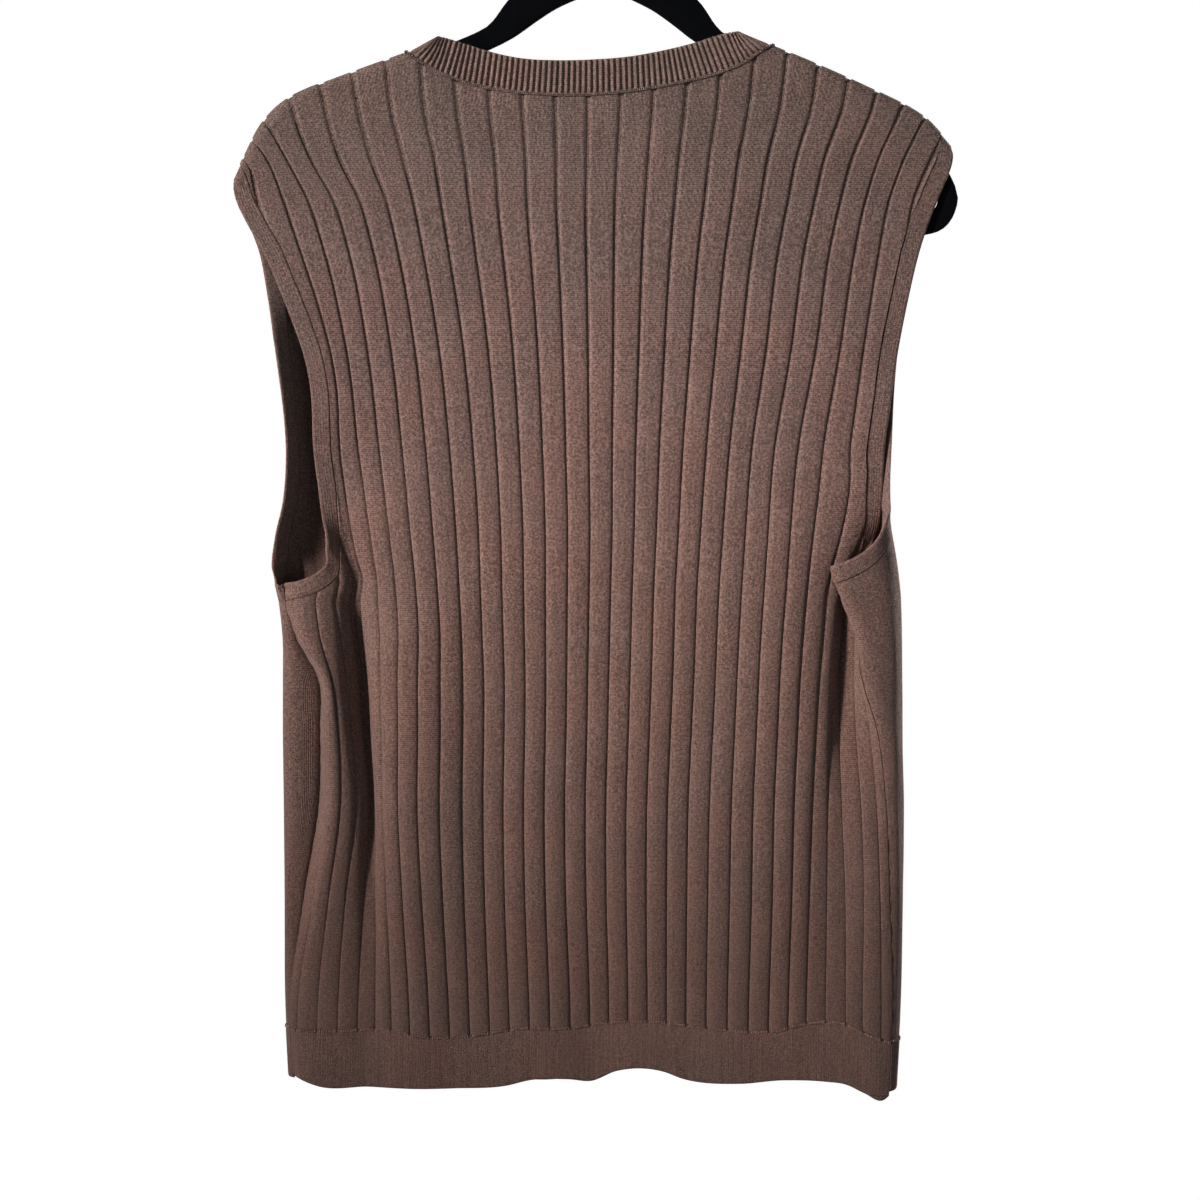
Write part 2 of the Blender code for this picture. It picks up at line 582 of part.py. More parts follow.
def panel_columns(front):
    """Rib coordinates of a panel's columns, and which of them the inside keeps."""
    seam_ribs = [-SEAM_RIB + SEAM_GAP_RIBS, -SEAM_RIB + SEAM_CLOSE_RIBS,
                 SEAM_RIB - SEAM_CLOSE_RIBS, SEAM_RIB - SEAM_GAP_RIBS]
    if front:
        whole = list(np.arange(-15.0, 16.0, 1.0))
        whole += list(np.arange(-V_FINE_RIBS, V_FINE_RIBS + 1, 1.0))
        whole += [-UPPER_EDGE_RIB, UPPER_EDGE_RIB] + seam_ribs
        whole += [-rib for rib in FRONT_EDGE_RIBS] + list(FRONT_EDGE_RIBS)
        columns = sorted([MIDDLE_FRONT + rib for rib in whole] + NECK_RIBS[True])
        return columns, list(range(len(columns)))
    whole = list(range(-15, 16)) + [-UPPER_EDGE_RIB, UPPER_EDGE_RIB] + seam_ribs + NECK_RIBS[False]
    edges = [rib - RIB_EDGE for rib in range(-15, 16)] + [rib + RIB_EDGE for rib in range(-15, 16)]
    edges = [rib for rib in edges if min(abs(rib - other) for other in whole) > COLUMN_ROOM]
    columns = sorted(whole + edges)
    return columns, [i for i, rib in enumerate(columns) if rib in whole or abs(rib) > SPREAD_RIB - 0.5]


LOW_SHARES = (0.0, 0.13, 0.27, 0.41, 0.53, 0.64, 0.75, 0.87, 1.0)
UPPER_SHARES = (0.17, 0.34, 0.50, 0.66, 0.81, 0.93)
TURN_SHARES = (0.0, 0.30, 0.62, 0.86, 1.0)
TURN_LENGTH = 5.5


def panel_rows(columns, front):
    """Rib and height of each panel point, low part first and then the part above it."""
    middle = MIDDLE_FRONT if front else 0.0
    low = []
    for share in LOW_SHARES:
        row = []
        for rib in columns:
            local = rib - middle
            bottom = hem_join_height(rib) + PIECE_GAP / 2
            knee = ARMHOLE_KNEE
            if abs(local) > UPPER_EDGE_RIB:
                knee = underarm_height(-local if front else local)
            row.append((rib, bottom + (knee - bottom) * share))
        low.append(row)
    inner = [i for i, rib in enumerate(columns) if abs(rib - middle) <= UPPER_EDGE_RIB + 1e-6]
    return low, inner


def rib_lines(columns, chosen, front):
    """For each chosen column, its rib coordinate as a function of height."""
    middle = MIDDLE_FRONT if front else 0.0

    def line(rib):
        local = rib - middle
        direction = 1 if local > 0 else -1
        side = -direction if front else direction
        share = (abs(local) - SPREAD_RIB) / (UPPER_EDGE_RIB - SPREAD_RIB)
        if share <= 0:
            return lambda height: rib
        return lambda height: middle + direction * (
            SPREAD_RIB + share * (armhole_rib(side, height) - SPREAD_RIB))

    return [line(columns[i]) for i in chosen]


def upper_rows(columns, kept, chosen, front):
    """Rows above the armhole's knee for the chosen columns."""
    lines = rib_lines(columns, chosen, front)
    tops = np.array([top_height(line, front) for line in lines])
    fixed = [n for n, i in enumerate(chosen) if i in kept]
    ribs = np.array([columns[i] for i in chosen])
    tops = np.interp(ribs, ribs[fixed], tops[fixed])
    marks = [(share, 0.0) for share in UPPER_SHARES] + [(1.0, turn) for turn in TURN_SHARES]
    rows = []
    for share, turn in marks:
        row = []
        for line, top in zip(lines, tops):
            start = top - turn_length(line(top), top)
            height = ARMHOLE_KNEE + (start - ARMHOLE_KNEE) * share
            height += (top - start) * math.sin(turn * math.pi / 2)
            row.append((line(height), height))
        rows.append(row)
    return rows


def turn_length(rib, top):
    """Length below the top in which the cloth turns over the ridge, measured down the rib."""
    x = body(rib, top)[0, 0]
    slope = float(ridge_slope(np.array([x]))[0])
    return TURN_LENGTH * math.sqrt(1 + slope * slope)


def grid_points(rows, front):
    """Inner and outer points of rows of (rib, height)."""
    inner = []
    outer = []
    for row in rows:
        ribs = np.array([cell[0] for cell in row])
        heights = np.array([cell[1] for cell in row])
        base, outward = cloth(ribs, heights)
        if front:
            thick = np.full(len(ribs), PLAIN_WALL)
        else:
            thick = GROOVE_WALL + rib_rise(ribs, heights)
        inner.append(base)
        outer.append(base + outward * thick[:, None])
    return inner, outer


def panel(name, front):
    """Front or back: one wall, its low part wider than the part between the armholes."""
    columns, kept = panel_columns(front)
    low, chosen = panel_rows(columns, front)
    high = upper_rows(columns, kept, chosen, front)
    low_in, low_out = grid_points(low, front)
    high_in, high_out = grid_points(high, front)
    points = []
    index_out = {}
    index_in = {}
    for r in range(len(low)):
        for c in range(len(columns)):
            index_out[r, c] = len(points)
            points.append(low_out[r][c])
    for r in range(len(low)):
        for c in kept:
            index_in[r, c] = len(points)
            points.append(low_in[r][c])
    first = len(low)
    for r in range(len(high)):
        for n, c in enumerate(chosen):
            index_out[first + r, c] = len(points)
            points.append(high_out[r][n])
            if c in kept:
                index_in[first + r, c] = len(points)
                points.append(high_in[r][n])
    faces = []
    total = first + len(high)
    kept_high = [c for c in kept if c in chosen]
    for r in range(total - 1):
        across = list(range(len(columns))) if r < first - 1 else chosen
        inside = kept if r < first - 1 else kept_high
        for a, b in zip(across, across[1:]):
            faces.append((index_out[r, a], index_out[r, b], index_out[r + 1, b], index_out[r + 1, a]))
        for a, b in zip(inside, inside[1:]):
            faces.append((index_in[r, a], index_in[r + 1, a], index_in[r + 1, b], index_in[r, b]))
        a = across[0]
        b = across[-1]
        faces.append((index_out[r, a], index_out[r + 1, a], index_in[r + 1, a], index_in[r, a]))
        faces.append((index_out[r, b], index_in[r, b], index_in[r + 1, b], index_out[r + 1, b]))

    def rim(r, inside):
        for a, b in zip(inside, inside[1:]):
            edge = [index_out[r, c] for c in range(a, b + 1)]
            faces.append(edge + [index_in[r, b], index_in[r, a]])

    rim(0, kept)
    rim(total - 1, kept_high)
    knee = first - 1
    rim(knee, [c for c in kept if c <= chosen[0]])
    rim(knee, [c for c in kept if c >= chosen[-1]])
    return new_object(name, points, faces, "knit")


def hem_band(name, front):
    """The hem's plain band, in one piece between the side seams."""
    columns, kept = panel_columns(front)
    ribs = np.array([columns[i] for i in kept])
    inner = []
    outer = []
    for share in (0.0, 0.5, 1.0):
        heights = []
        for rib in ribs:
            top = hem_join_height(rib) - PIECE_GAP / 2
            heights.append(hem_edge_height(rib) * (1 - share) + top * share)
        base, outward = cloth(ribs, np.array(heights))
        inner.append(base)
        outer.append(base + outward * HEM_WALL)
    return wall(name, outer, inner, list(range(len(ribs))), "knit")


# ---------------------------------------------------------------- bands round the openings
def ring(name, sections, colour):
    """A closed tube of sections, each the same number of points round the band."""
    count = len(sections)
    width = len(sections[0])
    points = [p for section in sections for p in section]
    faces = []
    for i in range(count):
        j = (i + 1) % count
        for k in range(width):
            m = (k + 1) % width
            faces.append((i * width + k, i * width + m, j * width + m, j * width + k))
    return new_object(name, points, faces, colour)


def armhole_edge(side, front):
    """(rib, height) of a panel's own edge points, from the shoulder down to the side seam."""
    columns, kept = panel_columns(front)
    low, chosen = panel_rows(columns, front)
    high = upper_rows(columns, kept, chosen, front)
    first = (side < 0) != front
    edge = [row[0 if first else -1] for row in high[::-1]]
    if first:
        return edge + low[-1][chosen[0]::-1]
    return edge + low[-1][chosen[-1]:]


def armhole_band(name, side):
    """A folded band along the armhole's edge, standing out from the panels."""
    stations = armhole_edge(side, False) + armhole_edge(side, True)[-2::-1]
    ribs = np.array([s[0] for s in stations])
    heights = np.array([s[1] for s in stations])
    base, outward = cloth(ribs, heights)
    along = np.roll(base, -1, axis=0) - np.roll(base, 1, axis=0)
    along /= np.linalg.norm(along, axis=1)[:, None]
    across = np.cross(outward, along) * side
    across[heights > ARMHOLE_KNEE, 1] = 0.0
    local = np.where(ribs < SEAM_RIB, np.abs(ribs), np.abs(np.mod(ribs, LOOP_RIBS) - MIDDLE_FRONT))
    folded = np.clip(local - UPPER_EDGE_RIB - 0.2, 0.0, 1.0) * (heights < ARMHOLE_KNEE)
    away = across + np.array([0.0, 0.0, UPRIGHT]) * folded[:, None]
    for _ in range(AWAY_PASSES):
        away = (np.roll(away, 1, axis=0) + 2 * away + np.roll(away, -1, axis=0)) / 4
        away -= outward * np.sum(away * outward, axis=1)[:, None]
        away[heights > ARMHOLE_KNEE, 1] = 0.0
        away /= np.linalg.norm(away, axis=1)[:, None]
    sections = []
    for p, n, a, d in zip(base, outward, across, away):
        near = p + a * ARM_GAP
        far = near + d * ARM_BAND_WIDTH
        sections.append([near, far, far + n * ARM_BAND_WALL, near + n * ARM_BAND_WALL])
    return ring(name, sections, "knit")


def neck_point(x, height, front):
    """Inside point and outward direction of the cloth at x and height."""
    rib = rib_at(x, height, front)
    base, outward = cloth(np.array([rib]), np.array([height]))
    return base[0], outward[0]


def neck_edge(front):
    """x and height of a panel's own upper edge."""
    columns, kept = panel_columns(front)
    _, chosen = panel_rows(columns, front)
    top = upper_rows(columns, kept, chosen, front)[-1]
    points = body([cell[0] for cell in top], [cell[1] for cell in top])
    order = np.argsort(points[:, 0])
    return points[order, 0], points[order, 2]


def end_shares(count, tight_end):
    """Shares of a stretch in even steps, closer together where it turns over a shoulder."""
    shares = [(i / count, i % 2) for i in range(count)]
    shares[1:1] = [(step / count, 0) for step in TURN_STEPS]
    if tight_end:
        shares += [(1 - step / count, 0) for step in TURN_STEPS[::-1]]
    return shares


def neck_lines():
    """Seam and free edge of the neckband, back from left to right, then the V of the front."""
    length = sum(math.dist(a, b) for a, b in zip(BACK_NECK_TOP, BACK_NECK_TOP[1:]))
    count = 2 * round(length / NECK_RIB_PITCH)
    stations = []
    for share, crest in end_shares(count, True):
        seam = along_table(BACK_NECK_SEAM, share)
        stations.append((seam, along_table(BACK_NECK_TOP, share), False, crest))
    legs = []
    for start, top in ((BACK_NECK_SEAM[-1], BACK_NECK_TOP[-1]), (BACK_NECK_SEAM[0], BACK_NECK_TOP[0])):
        count = 2 * round(math.dist(start, V_SEAM_POINT) / NECK_RIB_PITCH)
        legs.append([(v_line(start, V_SEAM_POINT, share), v_line(top, V_TOP_POINT, share), True, crest)
                     for share, crest in end_shares(count, False)])
    middle = (np.array(V_SEAM_POINT), np.array(V_TOP_POINT), True, 0)
    return stations + legs[0] + [middle] + legs[1][::-1]


def along_table(table, share):
    """Point at a share of the length of a smooth curve through a table."""
    rows = np.array(table)
    xs = np.linspace(rows[0, 0], rows[-1, 0], 200)
    zs = smooth(rows[:, 0], rows[:, 1], xs)
    lengths = np.concatenate([[0], np.cumsum(np.hypot(np.diff(xs), np.diff(zs)))])
    x = np.interp(share * lengths[-1], lengths, xs)
    return np.array([x, np.interp(x, xs, zs)])


def neckband(name):
    """The ribbed neckband, one ring round the back neck and the V."""
    sections = []
    edges = {front: neck_edge(front) for front in (False, True)}
    for seam, edge, front, crest in neck_lines():
        seam[1] = max(seam[1], float(np.interp(seam[0], *edges[front])))
        way = edge - seam
        near = seam + way * (PIECE_GAP / np.hypot(*way))
        low, low_out = neck_point(near[0], near[1], front)
        high, high_out = neck_point(edge[0], edge[1], front)
        rise = NECK_BAND_WALL + NECK_RIB_RISE * crest
        sections.append([low, high, high + high_out * rise, low + low_out * rise])
    return ring(name, sections, "knit")


# ---------------------------------------------------------------- hanger
def tilted(point):
    """Turn a hanger point about the rail by the hanger's tilt."""
    x, y, z = point
    c = math.cos(HANGER_TILT)
    s = math.sin(HANGER_TILT)
    return (x * c + z * s, y, z * c - x * s)


def hanger_body():
    """Arms and bar: a flat ring with bevelled edges round the open triangle."""
    half = list(HANGER_HALF)
    mirrored = [(-row[0], row[1], -row[2], row[3]) for row in half[1:-1]]
    stations = half + mirrored[::-1]
    sections = []
    y = HANGER_THICK / 2
    for outer_x, outer_z, inner_x, inner_z in stations:
        outer = np.array([outer_x, outer_z])
        inner = np.array([inner_x, inner_z])
        way = (inner - outer) / np.hypot(*(inner - outer))
        outer_low = outer + way * HANGER_BEVEL
        inner_low = inner - way * HANGER_BEVEL
        profile = [(outer, -y + HANGER_BEVEL), (outer, y - HANGER_BEVEL), (outer_low, y),
                   (inner_low, y), (inner, y - HANGER_BEVEL), (inner, -y + HANGER_BEVEL),
                   (inner_low, -y), (outer_low, -y)]
        sections.append([tilted((p[0], depth, p[1])) for p, depth in profile])
    return ring("hanger_body", sections, "velvet")


def hanger_collar():
    """A short collar on the neck, which the hook's stem stands in."""
    bottom = HANGER_HALF[0][1] + PIECE_GAP
    top = bottom + COLLAR_HEIGHT
    bore = HOOK_WIRE + PIECE_GAP
    profile = [(bore, bottom), (COLLAR_RADIUS - 1.0, bottom), (COLLAR_RADIUS, bottom + 1.0),
               (COLLAR_RADIUS - 0.6, top - 1.0), (COLLAR_RADIUS - 1.6, top), (bore, top)]
    sections = []
    sides = 24
    for i in range(sides):
        angle = 2 * math.pi * i / sides
        sections.append([tilted((r * math.cos(angle), r * math.sin(angle), z)) for r, z in profile])
    return ring("hanger_collar", sections, "steel")


def hook_route():
    """Centre line of the hook: stem, sideways bend and open loop, hanger upright."""
    centre = HOOK_WIRE - HOOK_LOOP
    foot = HANGER_HALF[0][1] + PIECE_GAP
    points = [(0.0, foot + i * 6.0) for i in range(4)]
    points += [(0.5, -48.0), (3.0, -43.5)]
    for angle in np.arange(-62.0, HOOK_OPEN_ANGLE + 1, 9.0):
        turn = math.radians(angle)
        points.append((HOOK_LOOP * math.cos(turn), centre + HOOK_LOOP * math.sin(turn)))
    return points


def hanger_hook():
    """A swept steel wire with rounded ends."""
    curve = bpy.data.curves.new("hanger_hook", "CURVE")
    curve.dimensions = "3D"
    curve.bevel_depth = HOOK_WIRE * MM
    curve.bevel_resolution = 2
    curve.use_fill_caps = True
    spline = curve.splines.new("POLY")
    route = hook_route()
    spline.points.add(len(route) - 1)
    for point, (x, z) in zip(spline.points, route):
        tx, ty, tz = tilted((x, 0.0, z))
        point.co = (tx * MM, ty * MM, tz * MM, 1.0)
    piece = bpy.data.objects.new("hanger_hook", curve)
    bpy.context.collection.objects.link(piece)
    curve.materials.append(material("steel"))
    return piece


def main():
    for old in list(bpy.data.objects):
        bpy.data.objects.remove(old, do_unlink=True)
    panel("back_panel", False)
    panel("front_panel", True)
    hem_band("hem_band_back", False)
    hem_band("hem_band_front", True)
    armhole_band("armhole_band_left", -1)
    armhole_band("armhole_band_right", 1)
    neckband("neckband")
    hanger_body()
    hanger_collar()
    hanger_hook()


main()
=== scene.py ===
"""Render model of a knitted sweater vest on a thin velvet hanger.

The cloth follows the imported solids' own form: one closed loop round the body, read by rib
coordinate and height.  Lengths below are millimetres and become metres in each mesh.
"""
import math

import bmesh
import bpy
import numpy as np
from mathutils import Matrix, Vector


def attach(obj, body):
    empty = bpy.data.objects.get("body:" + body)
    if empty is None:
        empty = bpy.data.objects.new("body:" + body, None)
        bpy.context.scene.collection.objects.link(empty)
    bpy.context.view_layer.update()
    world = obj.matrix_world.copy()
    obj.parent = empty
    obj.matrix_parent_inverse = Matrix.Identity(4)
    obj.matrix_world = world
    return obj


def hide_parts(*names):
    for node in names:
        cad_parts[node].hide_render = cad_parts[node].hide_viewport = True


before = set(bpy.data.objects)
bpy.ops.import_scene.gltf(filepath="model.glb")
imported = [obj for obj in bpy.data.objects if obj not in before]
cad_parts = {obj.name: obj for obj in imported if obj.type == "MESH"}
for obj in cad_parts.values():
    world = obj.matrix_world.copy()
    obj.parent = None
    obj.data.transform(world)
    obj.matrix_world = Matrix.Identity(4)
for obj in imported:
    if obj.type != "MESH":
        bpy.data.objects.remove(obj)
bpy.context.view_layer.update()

MM = 0.001

# ---- cloth sizes
SEAM_RIB = 15.5  # side seams, in ribs from the middle of the back
LOOP_RIBS = 62.0  # ribs once round the body
PANEL_RIBS = 31.0  # ribs across the back
MIDDLE_FRONT = 31.0  # rib coordinate of the middle of the front
MIDDLES = (0.0, MIDDLE_FRONT)  # of the back and of the front
SHOULDER_RIB = 12.5  # the panels reach this far out at the shoulders
PIECE_GAP = 0.3  # between two pieces that are sewn together
RIDGE_WALL = 2.0  # cloth thickness over the shoulder ridge
HALVINGS = 24  # steps in the search for a panel's top edge
FLAT_RIB = 10.5  # past this rib the cloth is folded and its ribs stand lower
WRAP_RADIUS = 5.0  # how far below the shoulder ridge the cloth turns over

# ---- body sections
# x of five rib lines of the back, at each height
RIB_SECTIONS = (
    # height, rib -10, rib -5, rib 0, rib 5, rib 10
    (-127, -225, -118, -12.5, 92.5, 193),
    (-164.5, -217.5, -115, -12.5, 88.5, 184),
    (-196, -201.5, -108.5, -13, 82.5, 170),
    (-221.5, -188, -104.5, -13.5, 79, 162),
    (-252.5, -178, -99.5, -13, 74.5, 155.5),
    (-315.5, -165, -90, -12, 68, 146),
    (-378.5, -156.5, -84, -11.5, 62, 135),
    (-435, -148, -80.5, -11, 58, 127.5),
    (-466, -144.5, -79.5, -11.5, 56, 124.5),
    (-494.5, -142.5, -78.5, -12, 55, 122),
    (-522.5, -142, -77.5, -12.5, 54, 120),
    (-554, -141, -77.5, -13, 52.5, 118.5),
    (-598, -140, -78, -14, 50.5, 116.5),
    (-660.5, -138, -77, -13.5, 49.5, 115),
    (-723.5, -135.5, -74.5, -11.5, 49, 113),
    (-780, -134.5, -72.5, -11.5, 49, 112),
)

# above the underarm: x of the cloth near each armhole, and the depth of both panels
UPPER_SECTIONS = (
    # height, back left, back right, front left, front -10, front 10, front right, back y, front y
    (-127, -254.5, 223, -264.3, -225, 193, 233, -4.3, 4.3),
    (-164.5, -246.5, 209.5, -256.2, -217.5, 184, 218, -4.3, 4.3),
    (-196, -220, 194, -226.2, -201.5, 170, 202, -4.4, 4.4),
    (-221.5, -211, 184, -218.7, -189, 162.5, 190.8, -4.7, 4.8),
    (-252.5, -201.5, 178.5, -211.5, -183.5, 157, 184.5, -5.2, 5.7),
    (-315.5, -186.5, 168, -202.5, -175.5, 157, 178.5, -6.5, 8),
    (-378.5, -175.5, 160, -197.5, -171, 159.5, 180.5, -8, 10),
)
UPPER_EDGE_RIB = 11.5  # the back edge columns above lie at this rib

# below the underarm: the folds at each side, x and y of the inside of the cloth at nine
# places from the back panel round the seam to the front panel
FOLD_RIBS = (11.5, 13.0, 14.0, 15.0, 15.5, 16.0, 17.0, 18.0, 19.0)
LEFT_FOLDS = (
    # height, valley, pleat right, pleat crest, pleat left, side seam, four on the front
    (-435, -163, -5, -175.5, -9, -187.5, -12, -201, -10, -206.5, -5, -210, 0, -209.5, 6, -206, 11,
     -199.5, 13),
    (-466, -161, -3, -172.5, -8.5, -183.5, -12.5, -197, -11.5, -202.5, -7, -206, -1, -206.5, 6,
     -203, 12, -195, 14),
    (-494.5, -159, 6, -169, -8, -180, -13.5, -191.5, -12.5, -195.5, -2, -200.5, -3, -204, 4,
     -201.5, 12, -189.5, 15),
    (-522.5, -155, 7, -165.5, -7.5, -173, -13.5, -177.5, -11, -182, 4.5, -193.5, 0, -203, 2,
     -201.5, 11, -188, 14),
    (-554, -152.5, 6, -162, -6, -169, -12, -176, -10, -181, 4.5, -193.5, 0, -203, 2, -201.5, 11,
     -188, 14),
    (-598, -148.5, 4.5, -159, -5, -167.5, -9.5, -175.5, -8, -181.5, 4, -193.5, -0.5, -202.5, 2,
     -201, 10.5, -188, 13),
    (-660.5, -149.5, -0.5, -165, -6, -175, -8, -184, -6.5, -191, 0, -198.5, -1, -202.5, 3.5,
     -200, 10, -187.5, 12),
    (-723.5, -151, -6, -169, -7.5, -181.5, -8, -194, -6, -198.5, -3, -201, 0, -201.5, 5, -196, 10,
     -184, 11),
    (-780, -151.5, -8, -169.5, -9, -181.5, -9, -192.5, -7, -196, -3.5, -198.5, 0, -198.5, 5,
     -193, 10, -180, 11),
)
RIGHT_FOLDS = (
    # height, valley, inner fold, fold turn, under the flap, side seam, flap, flap, flap, edge
    (-435, 147, -5.5, 157, -2, 160.5, -5, 154, -10.5, 142, -13.5, 141, -17, 153, -17.5,
     169, -13.5, 180.5, -5),
    (-466, 142.5, -4, 151, 2, 158.5, -1, 155.5, -8.5, 144.5, -12.5, 146.5, -15.5, 158, -15.5,
     172.5, -11.5, 182.5, -2),
    (-494.5, 140, -4, 148, 4, 156.5, 2.5, 160.5, -6.5, 155.5, -10.5, 159.5, -13, 168.5, -12.5,
     178, -8.5, 183.5, 0),
    (-522.5, 137.5, -4.5, 146, 4.5, 156, 3, 161.5, -6, 160, -10, 165.5, -11, 173, -9.5, 180.5, -5,
     184, 2.5),
    (-554, 135.5, -5.5, 146, 1.5, 156.5, 1, 165, -4, 169, -7.5, 173.5, -8, 179, -6, 183, -1,
     184, 6),
    (-598, 133.5, -6, 147, -4, 159, -4, 168.5, -5, 174, -6, 177.5, -6, 181.5, -3.5, 185, 2, 182, 8),
    (-660.5, 131.5, -8, 149, -7, 160.5, -7.5, 170.5, -7.5, 176, -6.5, 180, -5, 183.5, -1, 184, 5,
     177.5, 10),
    (-723.5, 130, -9.5, 149, -9, 159.5, -9, 171, -8.5, 177.5, -6.5, 180.5, -4, 183, 1, 181, 8,
     171.5, 11),
    (-780, 129.5, -10, 149, -10, 160, -10, 170.5, -8, 175.5, -6, 178.5, -3.5, 180, 2.5, 177.5, 9,
     167.5, 11.5),
)
# below the underarm: back depth and the middle of the front
FRONT_SECTIONS = (
    # height, back y, front -10 x, front 10 x, front -10 y, front 0 y, front 10 y
    (-435, -8.5, -171, 163.5, 13, 11, 11),
    (-466, -9, -168, 167, 14, 11.5, 12),
    (-494.5, -9, -162.5, 165, 14, 12, 12),
    (-522.5, -9, -160.5, 164, 13, 12, 12),
    (-554, -9, -160.5, 160, 13, 12, 12),
    (-598, -9, -160, 155, 13, 12, 12),
    (-660.5, -9.5, -159, 151, 12, 12, 12),
    (-723.5, -10, -156, 146, 12, 12, 12),
    (-780, -10, -153, 142, 12, 12.5, 12),
)
MIDDLE_X = -12.0

# ---- edges of the panels
ARMHOLE_RIBS = (
    # height, left, right: rib coordinate of the panel's edge above the underarm curve
    (-400, 11.5, 11.5), (-378, 11.5, 11.55), (-315, 11.6, 11.65), (-252, 11.75, 11.8),
    (-221, 12.1, 12.15), (-196, 12.35, 12.15), (-176, 12.4, 11.75),
)
ARMHOLE_KNEE = -400.0  # where the armhole's straight side turns into its round bottom
UNDERARM = {-1: -473.0, 1: -462.0}

SHOULDER_RIDGE = (
    # x, height of the cloth's top along the shoulders, and a steep roof over the neck
    (-238, -222), (-233.5, -205), (-231, -197), (-227, -188.5), (-221.5, -177.5), (-211, -164),
    (-203, -157.5), (-191, -151), (-174.5, -145), (-157, -138.5), (-140.5, -132.5),
    (-126.5, -127.5), (-105, -118), (-12, -78), (80, -115), (103.5, -123.5), (123.5, -131.5),
    (138.5, -138), (153, -144.5), (167, -151), (181, -157.5), (193, -164), (202, -170.5),
    (209, -178), (217, -189),
)
BACK_NECK_SEAM = (
    # x, height of the chain-stitched seam under the back neckband
    (-126, -129.5), (-119, -133.5), (-109, -139.5), (-95, -145.5), (-74.5, -151), (-52, -154),
    (-32, -155), (-12.5, -155), (7.5, -153.5), (29, -150.5), (50, -146.5), (72, -140.5),
    (87.5, -133.5), (94, -129), (103, -125),
)
BACK_NECK_TOP = (
    # x, height of the back neckband's upper edge
    (-105, -119), (-99, -120.5), (-78, -127), (-64.5, -130.5), (-52.5, -132.5), (-32.5, -133.5),
    (-9, -133), (14.5, -131), (31.5, -128), (54.5, -122.5), (73, -117), (80, -116),
)
V_SEAM_POINT = (-12.0, -345.0)  # lowest point of the front neckline's seam
V_TOP_POINT = (-12.0, -314.0)  # lowest point of the neckband's free edge
V_BOW = 7.0  # the V's sides bow out by this much

HEM_JOIN = (
    # x, height of the seam between the ribs and the hem band, on the back
    (-199, -741), (-169, -741.5), (-142, -740.5), (-109, -745), (-90, -744.5), (-55, -739.5),
    (-21.5, -739), (0, -736), (23, -735), (61.5, -739), (104.5, -741), (123.5, -736.5), (148, -737),
    (159, -742), (178, -750),
)
HEM_EDGE = (
    # x, height of the lower edge on the back
    (-199, -769), (-191, -773.5), (-183, -776.5), (-150, -777.5), (-96, -778), (-64.5, -776.5),
    (-47, -772.5), (-25, -772.5), (-10.5, -774), (5.5, -767.5), (34, -767.5), (46.5, -772),
    (82.5, -775), (110, -773), (136, -774), (149.5, -776), (160, -781), (172, -786), (179, -781),
)
HEM_JOIN_LEVEL = -745.0  # about where the back's ribs meet the hem band
HEM_EDGE_LEVEL = -775.0  # and where the band ends
FRONT_HEM_JOIN = -743.0
FRONT_HEM_EDGE = -776.0
FRONT_HEM_WAVE = 2.5
FRONT_HEM_ARCH = 12.0  # the front's hem lifts with the back's fold
FRONT_ARCH_X = 25.0
FRONT_ARCH_WIDTH = 34.0

# ---- bands
ARM_BAND_WIDTH = 11.5
TIP_PASSES = (2, 14)  # rounds in which the bands' free edges are smoothed, left and right
AWAY_PASSES = 8  # how often the band's direction is evened out
UPRIGHT = 3.0  # how far it is turned upright in the folds under the arm
ARM_BAND_WALL = 2.0
NECK_BAND_WALL = 1.5

# ---- hanger
HANGER_TILT = math.radians(1.2)  # the right shoulder hangs lower
HANGER_THICK = 5.0
HANGER_ROUND = 2.0  # its edges are rounded this far
LONG_GAP = 40.0  # rows of the table farther apart than this are joined straight
HANGER_HALF = (
    # outer x, outer height, inner x, inner height, from the neck round to the bar's middle
    (0, -72, 0, -89), (10, -72.5, 8, -90.5), (24, -77, 16.5, -94), (42, -84, 30, -100.5),
    (58.5, -93.5, 42, -108.5), (70.5, -109.5, 57, -119.5), (79, -116, 72, -127.5),
    (100, -125.3, 95, -138), (126, -135, 121, -148), (154, -145.5, 148, -158.5),
    (185, -158.5, 178, -171.5), (197, -165, 188.5, -177), (205.5, -173.5, 196, -184),
    (213, -186.5, 202, -193), (218.5, -198, 206.5, -202), (223, -207, 210, -209.5),
    (225, -214.6, 212.3, -214.9), (223.4, -223.2, 211.3, -220), (219.4, -230.9, 208.5, -223.8),
    (212.7, -236.1, 205.8, -225.8), (200, -239.4, 200, -226.8), (100, -239.4, 100, -226.8),
    (0, -239.4, 0, -226.8),
)
HOOK_WIRE = 1.8  # wire radius
HOOK_LOOP = 20.8  # loop radius on the wire's centre line
HOOK_OPEN_ANGLE = 205.0  # the loop runs from its join with the stem to here
COLLAR_RADIUS = 4.6
COLLAR_HEIGHT = 11.0
# how far the turned collar's outline lies inside its radius, and above its foot or below its top
COLLAR_FOOT = ((1.0, 0.0), (0.35, 0.2), (0.0, 0.8), (0.0, 1.6), (0.3, 2.2), (0.75, 2.5),
               (0.85, 4.5))
COLLAR_TOP = ((0.95, 2.6), (0.6, 2.2), (0.6, 1.4), (1.0, 0.5), (1.6, 0.0))


# ---- curves through tables
def hermite(start, end, leave, arrive, t):
    """A cubic from start to end, with its tangents for the whole step."""
    return ((1 + 2 * t) * (1 - t) ** 2 * start + t * (1 - t) ** 2 * leave
            + t * t * (3 - 2 * t) * end - t * t * (1 - t) * arrive)


